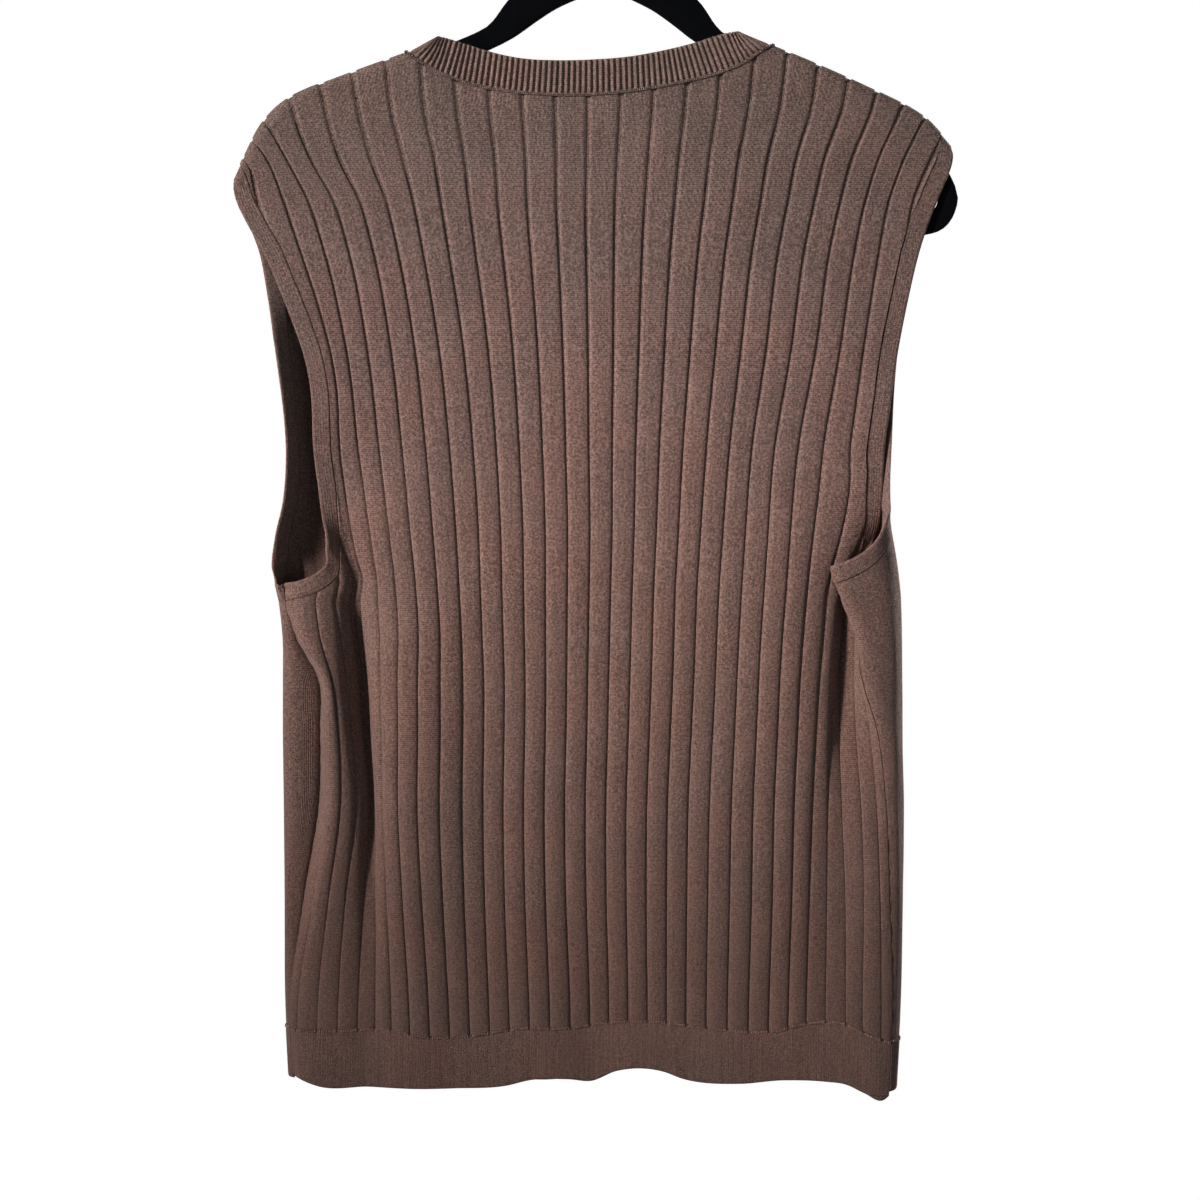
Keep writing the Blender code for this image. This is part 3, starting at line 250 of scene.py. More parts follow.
def smooth(knots, values, at):
    """A smooth curve through values at rising knots, read at the places `at`."""
    knots = np.asarray(knots, float)
    values = np.asarray(values, float)
    at = np.clip(np.asarray(at, float), knots[0], knots[-1])
    steps = np.diff(knots).reshape((-1,) + (1,) * (values.ndim - 1))
    slopes = np.diff(values, axis=0) / steps
    left, right = steps[:-1], steps[1:]
    inner = (slopes[:-1] * right + slopes[1:] * left) / (left + right)
    tangents = np.concatenate([slopes[:1], inner, slopes[-1:]])
    i = np.clip(np.searchsorted(knots, at, side="right") - 1, 0, len(knots) - 2)
    step = steps[i]
    t = (at - knots[i]).reshape(step.shape) / step
    return hermite(values[i], values[i + 1], step * tangents[i], step * tangents[i + 1], t)


def on_table(table, x):
    """Height from a table of (x, height) rows, along a smooth curve."""
    rows = np.array(table)
    return smooth(rows[:, 0], rows[:, 1], x)


def unit(vectors):
    """The same directions with a length of one."""
    return vectors / np.linalg.norm(vectors, axis=1)[:, None]


def run_lengths(points):
    """Length of a line of points up to each of them."""
    return np.concatenate([[0], np.cumsum(np.linalg.norm(np.diff(points, axis=0), axis=1))])


def between(at, places, points):
    """Points read between rows of points that lie at rising places."""
    return np.stack([np.interp(at, places, column) for column in points.T], axis=1)


def evened(ring):
    """One round of smoothing along a closed ring of points."""
    return (np.roll(ring, 1, axis=0) + 2 * ring + np.roll(ring, -1, axis=0)) / 4


# ---- the body's closed loop
def loop_columns():
    """Heights of the sections, ribs of their columns, and the (x, y) of every section's columns."""
    ribs = [-15.5, -15.0, -14.0, -13.0, -11.5, -10.0, -5.0, 0.0, 5.0, 10.0, *FOLD_RIBS,
            21.0, 31.0, 41.0, 43.0, 44.0, 45.0, 46.0, 46.5]
    rows = []
    for i, (_, *lines) in enumerate(RIB_SECTIONS):
        if i < len(UPPER_SECTIONS):
            _, *edges, left_x, right_x, front_right, depth, front_depth = UPPER_SECTIONS[i]
            left = upper_side(lines[0], edges[0], edges[2], depth, front_depth)
            right = upper_side(lines[4], edges[1], front_right, depth, front_depth)
            depths = [front_depth] * 3
        else:
            j = i - len(UPPER_SECTIONS)
            left, right = (np.reshape(folds[j][1:], (-1, 2)) for folds in (LEFT_FOLDS, RIGHT_FOLDS))
            _, depth, left_x, right_x, *depths = FRONT_SECTIONS[j]
        front = zip((right_x, MIDDLE_X, left_x), depths[::-1])
        rows.append([*left[4::-1], *((x, depth) for x in lines), *right, *front, *left[:3:-1]])
    return np.array([section[0] for section in RIB_SECTIONS]), np.array(ribs), np.array(rows, float)


def upper_side(line, edge, front_edge, depth, front_depth):
    """The loop past an armhole's edge, where there is no cloth: it only steers the curve."""
    step = edge - line
    beyond = edge + step
    return [(edge, depth), *[(beyond, depth)] * 3, (beyond, 0.0), *[(beyond, front_depth)] * 2,
            (front_edge + step / 1.5, front_depth), (front_edge, front_depth)]


HEIGHTS, LOOP_KNOTS, LOOP_ROWS = loop_columns()
LOOP_ENDS = np.concatenate([LOOP_KNOTS[-3:-1] - LOOP_RIBS, LOOP_KNOTS, LOOP_KNOTS[1:3] + LOOP_RIBS])
LOOP_STEPS = np.diff(LOOP_ENDS)


def in_loop(ribs):
    """Rib coordinates brought into one turn round the body."""
    return np.mod(ribs + SEAM_RIB, LOOP_RIBS) - SEAM_RIB


def body(ribs, heights):
    """Inside surface of the body before it turns over the shoulders: x, y, z in mm."""
    ribs = in_loop(np.atleast_1d(np.asarray(ribs, float)))
    heights = np.atleast_1d(np.asarray(heights, float))
    count = LOOP_ROWS.shape[1]
    flat = LOOP_ROWS[::-1].reshape(-1, count * 2)
    rows = smooth(HEIGHTS[::-1], flat, heights).reshape(-1, count, 2)
    closed = np.concatenate([rows[:, -3:-1], rows, rows[:, 1:3]], axis=1)
    i = np.clip(np.searchsorted(LOOP_ENDS, ribs, side="right") - 1, 1, len(LOOP_ENDS) - 3)
    points = [closed[np.arange(len(ribs)), i + k] for k in (-1, 0, 1, 2)]
    before, step, after = (LOOP_STEPS[i + k][:, None] for k in (-1, 0, 1))
    slopes = [(b - a) / width for a, b, width in zip(points, points[1:], (before, step, after))]
    leave = (slopes[0] * step + slopes[1] * before) / (step + before)
    arrive = (slopes[1] * after + slopes[2] * step) / (after + step)
    t = (ribs - LOOP_ENDS[i])[:, None] / step
    return np.column_stack([hermite(points[1], points[2], step * leave, step * arrive, t), heights])


def ridge_slope(x):
    """How steeply the shoulder ridge rises at x."""
    return (on_table(SHOULDER_RIDGE, x + 1.0) - on_table(SHOULDER_RIDGE, x - 1.0)) / 2.0


def inner_ridge(x):
    """Height of the inside of the cloth along the shoulder ridge."""
    slope = ridge_slope(x)
    return on_table(SHOULDER_RIDGE, x) - RIDGE_WALL * np.sqrt(1 + slope * slope)


def turned(points, outward):
    """Bend body points over the shoulder ridge, with their outward directions."""
    x, depth, z = points.T
    slope = ridge_slope(x)
    below = (inner_ridge(x) - z) / np.sqrt(1 + slope * slope)
    sine = np.clip(1.0 - below / WRAP_RADIUS, 0.0, 0.9990)
    cosine = np.sqrt(1 - sine * sine)
    up = unit(np.stack([-slope, np.zeros(len(x)), np.ones(len(x))], axis=1))
    half = np.maximum(np.abs(depth), 1.0)
    mixed = outward * (cosine / half)[:, None] + up * (sine / WRAP_RADIUS)[:, None]
    mixed = np.where((sine < 1e-6)[:, None], outward, mixed)
    return np.stack([x, depth * cosine, z], axis=1), unit(mixed)


def cloth(ribs, heights):
    """Inside points of the cloth and the directions that point out of it."""
    outward = unit(np.cross(body(ribs + RIB_STEP, heights) - body(ribs - RIB_STEP, heights),
                            body(ribs, heights + HEIGHT_STEP) - body(ribs, heights - HEIGHT_STEP)))
    return turned(body(ribs, heights), outward)


# ---- panel outlines
def armhole_rib(side, heights):
    """Rib coordinate, without its sign, of a panel's edge above the underarm curve."""
    levels, left, right = np.array(ARMHOLE_RIBS).T
    return np.interp(heights, levels, left if side < 0 else right)


def underarm_height(rib):
    """Height of the round bottom of the armhole at a rib between the knee and the seam."""
    side = -1 if rib < 0 else 1
    share = (SEAM_RIB - abs(rib)) / (SEAM_RIB - UPPER_EDGE_RIB)
    drop = math.sqrt(max(0.0, 1.0 - share * share))
    return ARMHOLE_KNEE + (UNDERARM[side] - ARMHOLE_KNEE) * drop


def v_line(start, point, share):
    """Front neckline from a shoulder to the lowest point, bowed outward."""
    start = np.array(start)
    point = np.array(point)
    way = point - start
    normal = np.array([way[1], -way[0]]) / np.hypot(*way)
    if normal[0] * (start[0] - point[0]) < 0:
        normal = -normal
    return start + way * share + normal * V_BOW * math.sin(math.pi * share)


def front_neckline():
    """Points of the front neckline's seam, from the left shoulder to the right one."""
    shares = np.linspace(0, 1, 41)
    points = [v_line(BACK_NECK_SEAM[0], V_SEAM_POINT, s) for s in shares]
    points += [v_line(BACK_NECK_SEAM[-1], V_SEAM_POINT, s) for s in shares[-2::-1]]
    return np.array(points)


FRONT_NECKLINE = front_neckline()


def front_hem_shift(ribs):
    """The front's hem meets the back's at both side seams."""
    share = (ribs - SEAM_RIB) / PANEL_RIBS
    return -5.0 * (1 - share) ** 3 + 3.5 * share ** 3


def join_heights(ribs):
    """Height of the seam between the ribs and the hem band."""
    if ribs[0] > SEAM_RIB:
        return FRONT_HEM_JOIN + front_hem_shift(ribs)
    return on_table(HEM_JOIN, body(ribs, np.full(len(ribs), HEM_JOIN_LEVEL))[:, 0])


def edge_heights(ribs):
    """Height of the lower edge of the hem band."""
    x = body(ribs, np.full(len(ribs), HEM_EDGE_LEVEL))[:, 0]
    if ribs[0] < SEAM_RIB:
        return on_table(HEM_EDGE, x)
    wave = FRONT_HEM_WAVE * np.sin(ribs * 0.9) * np.sin(math.pi * (ribs - SEAM_RIB) / PANEL_RIBS)
    arch = FRONT_HEM_ARCH * np.exp(-((x - FRONT_ARCH_X) / FRONT_ARCH_WIDTH) ** 2)
    return FRONT_HEM_EDGE + wave + front_hem_shift(ribs) + arch


def tilted(point):
    """Turn a hanger point about the rail by the hanger's tilt."""
    x, y, z = point
    c = math.cos(HANGER_TILT)
    s = math.sin(HANGER_TILT)
    return (x * c + z * s, y, z * c - x * s)


def hook_route():
    """Centre line of the hook: stem, sideways bend and open loop, hanger upright."""
    centre = HOOK_WIRE - HOOK_LOOP
    foot = HANGER_HALF[0][1] + PIECE_GAP
    points = [(0.0, foot + i * 6.0) for i in range(4)]
    points += [(0.5, -48.0), (3.0, -43.5)]
    for angle in np.arange(-62.0, HOOK_OPEN_ANGLE + 1, 9.0):
        turn = math.radians(angle)
        points.append((HOOK_LOOP * math.cos(turn), centre + HOOK_LOOP * math.sin(turn)))
    return points


# ---- fine cloth
STEPS_IN_RIB = (0.0, 0.035, 0.06, 0.10, 0.16, 0.30, 0.50, 0.70, 0.84, 0.90, 0.94, 0.965)
KEPT_IN_RIB = (0.0, 0.16, 0.50, 0.84)  # columns that the inside has too
SIDE_EDGE = 15.488  # the panels' own side edges, in ribs
WALES_IN_RIB = 12.0  # columns of stitches in one rib
COURSE = 1.25  # height of a row of stitches
RISE_HEIGHTS = (-740.0, -600.0, -420.0, -220.0)
GROOVE_RISES = (2.3, 2.5, 1.9, 1.35)  # how far a rib stands above its groove
GROOVE_WIDTHS = (0.5, 0.48, 0.32, 0.06)  # share of the rib that rounds over, at each side
EDGE_POWER, EDGE_FULLNESS = 2.3, 0.62  # how a rib rounds over at its sides
CHANNEL_WIDTHS = (0.008, 0.008, 0.022, 0.060)  # half the flat bottom of the groove, in ribs
FOLD_RISE = 0.55  # the ribs stand lower where the cloth is folded under the arm
SHELL = 1.0  # wall in the grooves
PLAIN_SHELL = 1.7  # wall of the plain front
SEAM_HOLLOW = 0.75  # depth of the hollow along a side seam
SEAM_WIDTH = 0.06  # and its half width, in ribs
PUCKER_RISE = 0.22  # how far the cloth puckers beside it
PUCKER_WIDTH = 0.22
PUCKER_LENGTH = 4.1
HEM_HALF = 0.95  # half the hem band's wall
HEM_RIB_RISE = 0.16  # its fine ribs, one for each wale
HEM_SHARES = (0.0, 0.04, 0.1, 0.22, 0.4, 0.6, 0.8, 0.9, 0.96, 0.99, 1.0)
RIB_STEP = 0.05  # steps over which slopes of the plain cloth are measured
HEIGHT_STEP = 0.5
FINE_RIB_STEP = 0.04  # and of the uneven cloth
FINE_HEIGHT_STEP = 0.4
TURN_START = -235.0  # above this height the cloth is turned over the hanger
SWAY_HEIGHTS = (-790.0, -600.0, -400.0, -230.0)
SWAY_BACK = (0.9, 0.6, 0.35, 0.0)
SWAY_FRONT = (4.4, 3.8, 2.4, 0.0)
SWAY_WAVES = (
    # size, waves round the body, how they drift with the height, where they start
    (0.5, 7, 0.006, 0.7), (0.35, 12, -0.008, 0.0), (0.25, 19, 0.011, 2.0),
)
LOW_ROWS = 92  # rows of points below the armholes
UPPER_ROWS = 70  # between the armholes
TURN_ROWS = 9  # and where the cloth turns over the shoulders
TURN_LENGTH = 5.5  # how far below the ridge the turn's rows begin
LOWEST_TOP = -420.0  # the panels' tops are looked for between these heights
HIGHEST_TOP = -90.0


def sway(ribs, heights):
    """Soft hollows and ridges of the hanging cloth, along its outward direction."""
    turn = 2 * math.pi * ribs / LOOP_RIBS
    wave = sum(size * np.sin(count * turn + drift * heights + start)
               for size, count, drift, start in SWAY_WAVES)
    local = in_loop(ribs)
    front = local > SEAM_RIB
    inward = SEAM_RIB - np.abs(local - np.where(front, MIDDLE_FRONT, 0.0))
    size = np.where(front, np.interp(heights, SWAY_HEIGHTS, SWAY_FRONT),
                    np.interp(heights, SWAY_HEIGHTS, SWAY_BACK))
    return wave * size * np.clip((inward - 3.0) / 4.0, 0.0, 1.0)


HOLLOWS = (
    # rib, its width to the left and right of it in ribs, then height and depth in rows
    (-11.3, 1.05, 2.3, ((-780, 0.5), (-700, 2), (-640, 3), (-560, 2.5), (-470, 3.5), (-435, 6.5),
     (-405, 7), (-385, 5), (-360, 2.5), (-330, 0))),
    (0.3, 1.2, 1.5, ((-790, 4.5), (-745, 3.5), (-700, 1.5), (-640, 0))),
    (12.7, 1.8, 1, ((-780, 0.5), (-660, 2), (-600, 2.5), (-540, 3), (-490, 3), (-440, 2),
     (-400, 1), (-370, 0))),
)
EDGE_DRAPE = (
    # middle rib, direction, first rib and reach, then height, how far the edge lies out and forward
    (0, -1, 9.6, 2, ((-482, 0, 0), (-472.5, -0.1, 0), (-467, -2.2, 0), (-457, -4, 0),
     (-450, -1, 0), (-442, 1.5, 0), (-432, 3, 0), (-415, 3, 0), (-400, 1, 0), (-378, -2, 0),
     (-340, -8, 0), (-315, -8, 0), (-290, -5.5, 0), (-260, -2, 0), (-235, 0, 0))),
    (0, 1, 9.6, 2, ((-470, 0, 0), (-450, 3, 0), (-432, 7, 0), (-415, 8, 0), (-400, 6.5, 0),
     (-380, 1, 0), (-350, 0, 0))),
    (MIDDLE_FRONT, 1, 10.2, 1.3, ((-482, 0, 0), (-473, 0, 0.2), (-468, 0, 1.5), (-458, 0, 4.3),
     (-445, 0.5, 6.5), (-428, 1.5, 9.6), (-410, 2.2, 10.9), (-395, 2.7, 11.5), (-370, 3, 12),
     (-315, 3, 10), (-260, 1, 4), (-220, 0, 0))),
    (MIDDLE_FRONT, -1, 9.6, 2, ((-470, 0, 0), (-450, -1.6, 0), (-430, -4.2, 3), (-412, -7, 6),
     (-395, -5.6, 8.5), (-340, -3.5, 8.5), (-300, -1.5, 5), (-240, 0, 0))),
)


CURL_POWER = 2.2  # an edge curls more and more towards its end
CURL_FADE = 1.2  # and straightens again past it


def folded(ribs, heights):
    """How far the cloth is set back between its folds, and where its armhole edge curls."""
    local = in_loop(ribs)
    moved = np.zeros((len(ribs), 3))
    for centre, left, right, rows in HOLLOWS:
        width = np.where(local < centre, left, right)
        moved[:, 1] += on_table(rows, heights) * np.exp(-((local - centre) / width) ** 2)
    for middle, side, start, length, rows in EDGE_DRAPE:
        table = np.array(rows)
        out, forward = smooth(table[:, 0], table[:, 1:], heights).T
        reach = np.maximum(((local - middle) * side - start) / length, 0.0)
        reach[(local > SEAM_RIB) != (middle > 0.0)] = 0.0
        past = np.maximum(reach, 1.0) - 1.0
        beyond = 1.0 + CURL_POWER / CURL_FADE * (1.0 - np.exp(-CURL_FADE * past))
        moved[:, 1] -= forward * np.where(reach < 1.0, reach ** CURL_POWER, beyond)
        moved[:, 0] += (-side if middle else side) * out * np.minimum(reach, 1.0) ** 1.2
    return moved


def uneven(ribs, heights):
    """The inside of the cloth with its hollows, curls and soft sway."""
    base, outward = cloth(ribs, heights)
    return base + outward * sway(ribs, heights)[:, None] + folded(ribs, heights)


def draped(ribs, heights):
    """Inside points of the cloth and its outward directions."""
    across = uneven(ribs + FINE_RIB_STEP, heights) - uneven(ribs - FINE_RIB_STEP, heights)
    along = uneven(ribs, heights + FINE_HEIGHT_STEP) - uneven(ribs, heights - FINE_HEIGHT_STEP)
    outward = np.cross(across, along)
    size = np.linalg.norm(outward, axis=1)[:, None]
    plain = (heights > TURN_START)[:, None] | (size < 1e-6)
    outward = np.where(plain, cloth(ribs, heights)[1], outward / np.maximum(size, 1e-9))
    return uneven(ribs, heights), outward


def rib_height(ribs, heights):
    """How far the back's surface stands above its grooves."""
    share = np.mod(ribs, 1.0)
    width = np.interp(heights, RISE_HEIGHTS, GROOVE_WIDTHS)
    channel = np.interp(heights, RISE_HEIGHTS, CHANNEL_WIDTHS)
    edge = np.clip((np.minimum(share, 1.0 - share) - channel) / width, 0.0, 1.0)
    round_edge = (1.0 - (1.0 - edge) ** EDGE_POWER) ** EDGE_FULLNESS
    aside = np.clip((np.abs(ribs) - FLAT_RIB) / 1.5, 0.0, 1.0)
    under = np.clip((ARMHOLE_KNEE - heights) / 60.0, 0.0, 1.0)
    lower = 1.0 - (1.0 - FOLD_RISE) * aside * under
    return np.interp(heights, RISE_HEIGHTS, GROOVE_RISES) * round_edge * lower


def seam_tuck(ribs, heights):
    """The sewn side seam lies in a narrow hollow and puckers a little."""
    near = np.abs(np.abs(np.mod(ribs + MIDDLE_FRONT, LOOP_RIBS) - MIDDLE_FRONT) - SEAM_RIB)
    wave = heights * 2 * math.pi / PUCKER_LENGTH + 1.3 * np.sin(heights * 0.11)
    pucker = PUCKER_RISE * np.sin(wave) * np.exp(-(near / PUCKER_WIDTH) ** 2)
    return pucker - SEAM_HOLLOW * np.exp(-(near / SEAM_WIDTH) ** 2)


def thickness(ribs, heights, front):
    """Wall of a panel, with its ribs and its sewn sides."""
    plain = PLAIN_SHELL if front else SHELL + rib_height(ribs, heights)
    return plain + seam_tuck(ribs, heights)


def panel_columns(front):
    """Rib coordinate of each column, and which of them the inside has."""
    ends = [-SIDE_EDGE, SIDE_EDGE, -UPPER_EDGE_RIB, UPPER_EDGE_RIB]
    if front:
        ribs = np.unique(np.round(np.concatenate([np.arange(-15.25, 15.3, 0.25), ends]), 4))
        kept = [i for i, rib in enumerate(ribs)
                if i % 2 == 0 or i == len(ribs) - 1 or abs(abs(rib) - UPPER_EDGE_RIB) < 1e-6]
        return MIDDLE_FRONT + ribs, kept
    ribs = [k + s for k in range(-16, 16) for s in STEPS_IN_RIB if abs(k + s) < 15.46]
    columns = np.unique(np.round(ribs + ends, 4))
    kept_ribs = {round(k + s, 4) for k in range(-16, 16) for s in KEPT_IN_RIB} | set(ends)
    return columns, [i for i, rib in enumerate(columns) if round(float(rib), 4) in kept_ribs]


def top_heights(locals_, front):
    """Where each column ends at the top: at the shoulder ridge or at the neck seam."""
    low = np.full(len(locals_), LOWEST_TOP)
    high = np.full(len(locals_), HIGHEST_TOP)
    for _ in range(HALVINGS):
        middle = (low + high) / 2
        x = body(column_rib(locals_, middle, front), middle)[:, 0]
        seam = np.interp(x, *FRONT_NECKLINE.T) if front else on_table(BACK_NECK_SEAM, x)
        in_neck = (x > BACK_NECK_SEAM[0][0]) & (x < BACK_NECK_SEAM[-1][0])
        limit = np.where(in_neck, np.minimum(inner_ridge(x), seam), inner_ridge(x))
        below = middle < limit
        low = np.where(below, middle, low)
        high = np.where(below, high, middle)
    return low


def column_rib(locals_, heights, front):
    """Rib coordinate of columns above the knee, ended at the armhole's edge."""
    heights = np.broadcast_to(heights, locals_.shape)
    edge = np.where((locals_ < 0) != front, armhole_rib(-1, heights), armhole_rib(1, heights))
    return np.sign(locals_) * np.minimum(np.abs(locals_), edge) + MIDDLES[front]


def low_grid(columns, front):
    """(rib, height) of the part below the armholes."""
    knee = np.full(len(columns), ARMHOLE_KNEE)
    for i, rib in enumerate(columns - MIDDLES[front]):
        if abs(rib) > UPPER_EDGE_RIB:
            knee[i] = underarm_height(-rib if front else rib)
    bottom = join_heights(columns) + PIECE_GAP / 2
    heights = bottom + (knee - bottom) * np.linspace(0, 1, LOW_ROWS)[:, None]
    return np.broadcast_to(columns, heights.shape), heights


def turn_start(local, tops, front):
    """Height at which columns begin to turn over the shoulder, below their tops."""
    slope = ridge_slope(body(column_rib(local, tops, front), tops)[:, 0])
    return tops - TURN_LENGTH * np.sqrt(1 + slope * slope)


def upper_grid(columns, front):
    """(rib, height) of the part between the armholes, and the columns it uses."""
    local = columns - MIDDLES[front]
    chosen = [i for i, rib in enumerate(local) if abs(rib) <= SHOULDER_RIB]
    local = local[chosen]
    tops = top_heights(local, front)
    start = turn_start(local, tops, front)
    shares = np.linspace(0, 1, UPPER_ROWS)
    turns = np.linspace(0, math.pi / 2, TURN_ROWS)[1:]
    rows = [ARMHOLE_KNEE + (start - ARMHOLE_KNEE) * share for share in shares]
    rows += [start + (tops - start) * math.sin(turn) for turn in turns]
    return chosen, np.array([column_rib(local, row, front) for row in rows]), np.array(rows)


# ---- meshes
def make(name, points, faces, material, uv=None, weld=True, sharp=60.0):
    """An object from points in mm, with stitch coordinates as its UV map."""
    mesh = bpy.data.meshes.new(name)
    mesh.from_pydata((np.asarray(points) * MM).tolist(), [], faces)
    if uv is not None:
        layer = mesh.uv_layers.new(name="stitches")
        where = np.empty(len(mesh.loops), dtype=np.int32)
        mesh.loops.foreach_get("vertex_index", where)
        layer.data.foreach_set("uv", np.asarray(uv, dtype=np.float32)[where].ravel())
    if weld:
        work = bmesh.new()
        work.from_mesh(mesh)
        bmesh.ops.remove_doubles(work, verts=work.verts, dist=0.000002)
        bmesh.ops.recalc_face_normals(work, faces=work.faces)
        work.to_mesh(mesh)
        work.free()
    mesh.shade_smooth()
    mesh.set_sharp_from_angle(angle=math.radians(sharp))
    piece = bpy.data.objects.new(name, mesh)
    bpy.context.collection.objects.link(piece)
    piece.data.materials.append(material)
    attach(piece, "root")
    return piece


def strip(first, second):
    """Faces between two index lists of equal length."""
    return [(first[i], first[i + 1], second[i + 1], second[i]) for i in range(len(first) - 1)]


def rim(outer, inner, kept):
    """Faces that close a shell along a row: kept lists the outer places with an inner point."""
    spans = enumerate(zip(kept, kept[1:]))
    return [outer[a:b + 1] + [inner[k + 1], inner[k]] for k, (a, b) in spans]


def ring_faces(rings, width, closed=False, at=0):
    """Faces of a tube: rings of `width` points each, joined end to end if it is closed."""
    return [(at + i * width + k, at + i * width + m, at + j * width + m, at + j * width + k)
            for i in range(rings if closed else rings - 1) for j in [(i + 1) % rings]
            for k in range(width) for m in [(k + 1) % width]]


def closed_ring(sections):
    """Points and faces of a tube through equal closed sections, joined end to end."""
    return sections.reshape(-1, 3), ring_faces(sections.shape[0], sections.shape[1], closed=True)


def rounded_off(share, ends):
    """Half thickness of a band, as a share, rounding to nothing at its free edge."""
    over = min(max((share - (1 - ends)) / ends, 0.0), 1.0)
    return math.sqrt(1 - over * over)


class Shell:
    """A thin shell: its points, stitch coordinates and faces, one block after another."""

    def __init__(self):
        self.points, self.uvs, self.faces = [], [], []
        self.count = 0

    def grid(self, points, uv):
        """Add rows of points, and give their numbers."""
        numbers = np.arange(uv.shape[0] * uv.shape[1]).reshape(uv.shape[:2]) + self.count
        self.points.append(points.reshape(-1, 3))
        self.uvs.append(uv.reshape(-1, 2))
        self.count += numbers.size
        return numbers.tolist()

    def block(self, outer, base, uv, kept):
        """Add rows of outside points over the kept inside ones, closed along both sides."""
        out = self.grid(outer, uv)
        inner = self.grid(base[:, kept], uv[:, kept])
        for first, second in zip(out, out[1:]):
            self.faces += strip(first, second)
        for first, second in zip(inner, inner[1:]):
            self.faces += strip(second, first)
        for column in (0, -1):
            self.faces += strip([row[column] for row in out], [row[column] for row in inner])
        return out, inner

    def make(self, name, material):
        """The object that all blocks and faces make together."""
        points, uvs = np.concatenate(self.points), np.concatenate(self.uvs)
        return make(name, points, self.faces, material, uvs)


def knit_panel(name, front, material):
    """A panel as a thin shell: its ribs outside and a plain inside."""
    columns, kept = panel_columns(front)
    chosen, *upper = upper_grid(columns, front)
    kept_high = [chosen.index(i) for i in kept if i in chosen]
    shell = Shell()
    blocks = []
    for (ribs, heights), inside in ((low_grid(columns, front), kept), (upper, kept_high)):
        flat = ribs.ravel(), heights.ravel()
        base, outward = draped(*flat)
        outer = base + outward * thickness(*flat, front)[:, None]
        uv = np.stack([ribs * WALES_IN_RIB, heights / COURSE], axis=2)
        shape = (*heights.shape, 3)
        blocks.append(shell.block(outer.reshape(shape), base.reshape(shape), uv, inside))
    (low_out, low_in), (high_out, high_in) = blocks
    shell.faces += rim(low_out[0], low_in[0], kept) + rim(high_out[-1], high_in[-1], kept_high)
    left_knee, right_knee = (int(np.argmin(np.abs(columns - MIDDLES[front] - rib)))
                             for rib in (-UPPER_EDGE_RIB, UPPER_EDGE_RIB))
    for first, last in ((0, left_knee), (right_knee, len(columns) - 1)):
        places = [k for k in kept if first <= k <= last]
        shell.faces += rim(low_out[-1], [low_in[-1][kept.index(k)] for k in places], places)
    return shell.make(name, material)


def hem(name, front, material):
    """The hem: a fine ribbed band whose lower edge waves."""
    count = int(PANEL_RIBS * WALES_IN_RIB)
    fine = np.linspace(-SIDE_EDGE, SIDE_EDGE, count * 4 + 1) + MIDDLES[front]
    top = join_heights(fine) - PIECE_GAP / 2
    edge = edge_heights(fine)
    phase = np.arange(len(fine)) / 4.0
    rib = 0.5 - 0.5 * np.cos(2 * math.pi * phase)
    keep = list(range(0, len(fine), 4))
    outer, inner, uvs = [], [], []
    for share in HEM_SHARES:
        heights = top + (edge - top) * share
        base, outward = draped(fine, heights)
        roll = rounded_off(share, 0.06) * min(1.0, 0.55 + share * 8)
        waves = 0.18 * np.sin(phase * 0.37 + 1.2 * np.sin(phase * 0.11)) * share
        lift = HEM_HALF + roll * (HEM_HALF + HEM_RIB_RISE * rib + waves)
        outer.append(base + outward * lift[:, None])
        inner.append(base + outward * (HEM_HALF - roll * HEM_HALF))
        uvs.append(np.stack([phase, heights / COURSE], axis=1))
    shell = Shell()
    out, inside = shell.block(np.stack(outer), np.stack(inner), np.stack(uvs), keep)
    shell.faces += rim(out[0], inside[0], keep) + rim(out[-1], inside[-1], keep)
    return shell.make(name, material)


# ---- armhole bands
ARM_UPPER_SHARES = (0.17, 0.34, 0.50, 0.66, 0.81, 0.93)
ARM_TURNS = (0.0, 0.30, 0.62, 0.86, 1.0)
ARM_FOLD_RIBS = (11.75, 12.0, 12.5, 13.0, 13.5, 14.0, 14.5, 15.0, 15.28, SIDE_EDGE)
ARM_RIBS = 7  # fine ribs across the band
ARM_RIB_RISE = 0.07
ARM_FLAT_FADE = 70.0  # height over which the bands turn from lying flat into following the cloth
ARM_STEPS = 7  # stations between two marks
ARM_SHARES = np.concatenate([np.linspace(0, 0.86, ARM_RIBS * 5), [0.90, 0.94, 0.97, 0.99, 1.0]])
ARM_INNER_SHARES = np.array([0.99, 0.95, 0.85, 0.6, 0.3, 0.0])
YARN_WIDTH = 1.3  # one wale of the bands


def armhole_stations(side, front, steps):
    """(rib, height) down a panel's armhole edge, from the shoulder to the side seam."""
    direction = -side if front else side
    local = np.array([direction * SHOULDER_RIB])
    tops = top_heights(local, front)
    top, start = float(tops[0]), float(turn_start(local, tops, front)[0])
    marks = [start + (top - start) * math.sin(turn * math.pi / 2) for turn in ARM_TURNS[::-1]]
    shares = ARM_UPPER_SHARES[::-1] + (0.0,)
    marks += [ARMHOLE_KNEE + (start - ARMHOLE_KNEE) * share for share in shares]
    heights = np.array(divided(marks, steps))
    stations = list(zip(armhole_rib(side, heights), heights))
    for rib in divided((UPPER_EDGE_RIB,) + ARM_FOLD_RIBS, steps) + [SIDE_EDGE]:
        stations.append((rib, underarm_height(side * rib)))
    return [(MIDDLES[front] + direction * rib, height) for rib, height in stations]


def divided(marks, steps):
    """Every step between neighbouring marks, without the last mark."""
    return [a + (b - a) * i / steps for a, b in zip(marks, marks[1:]) for i in range(steps)]


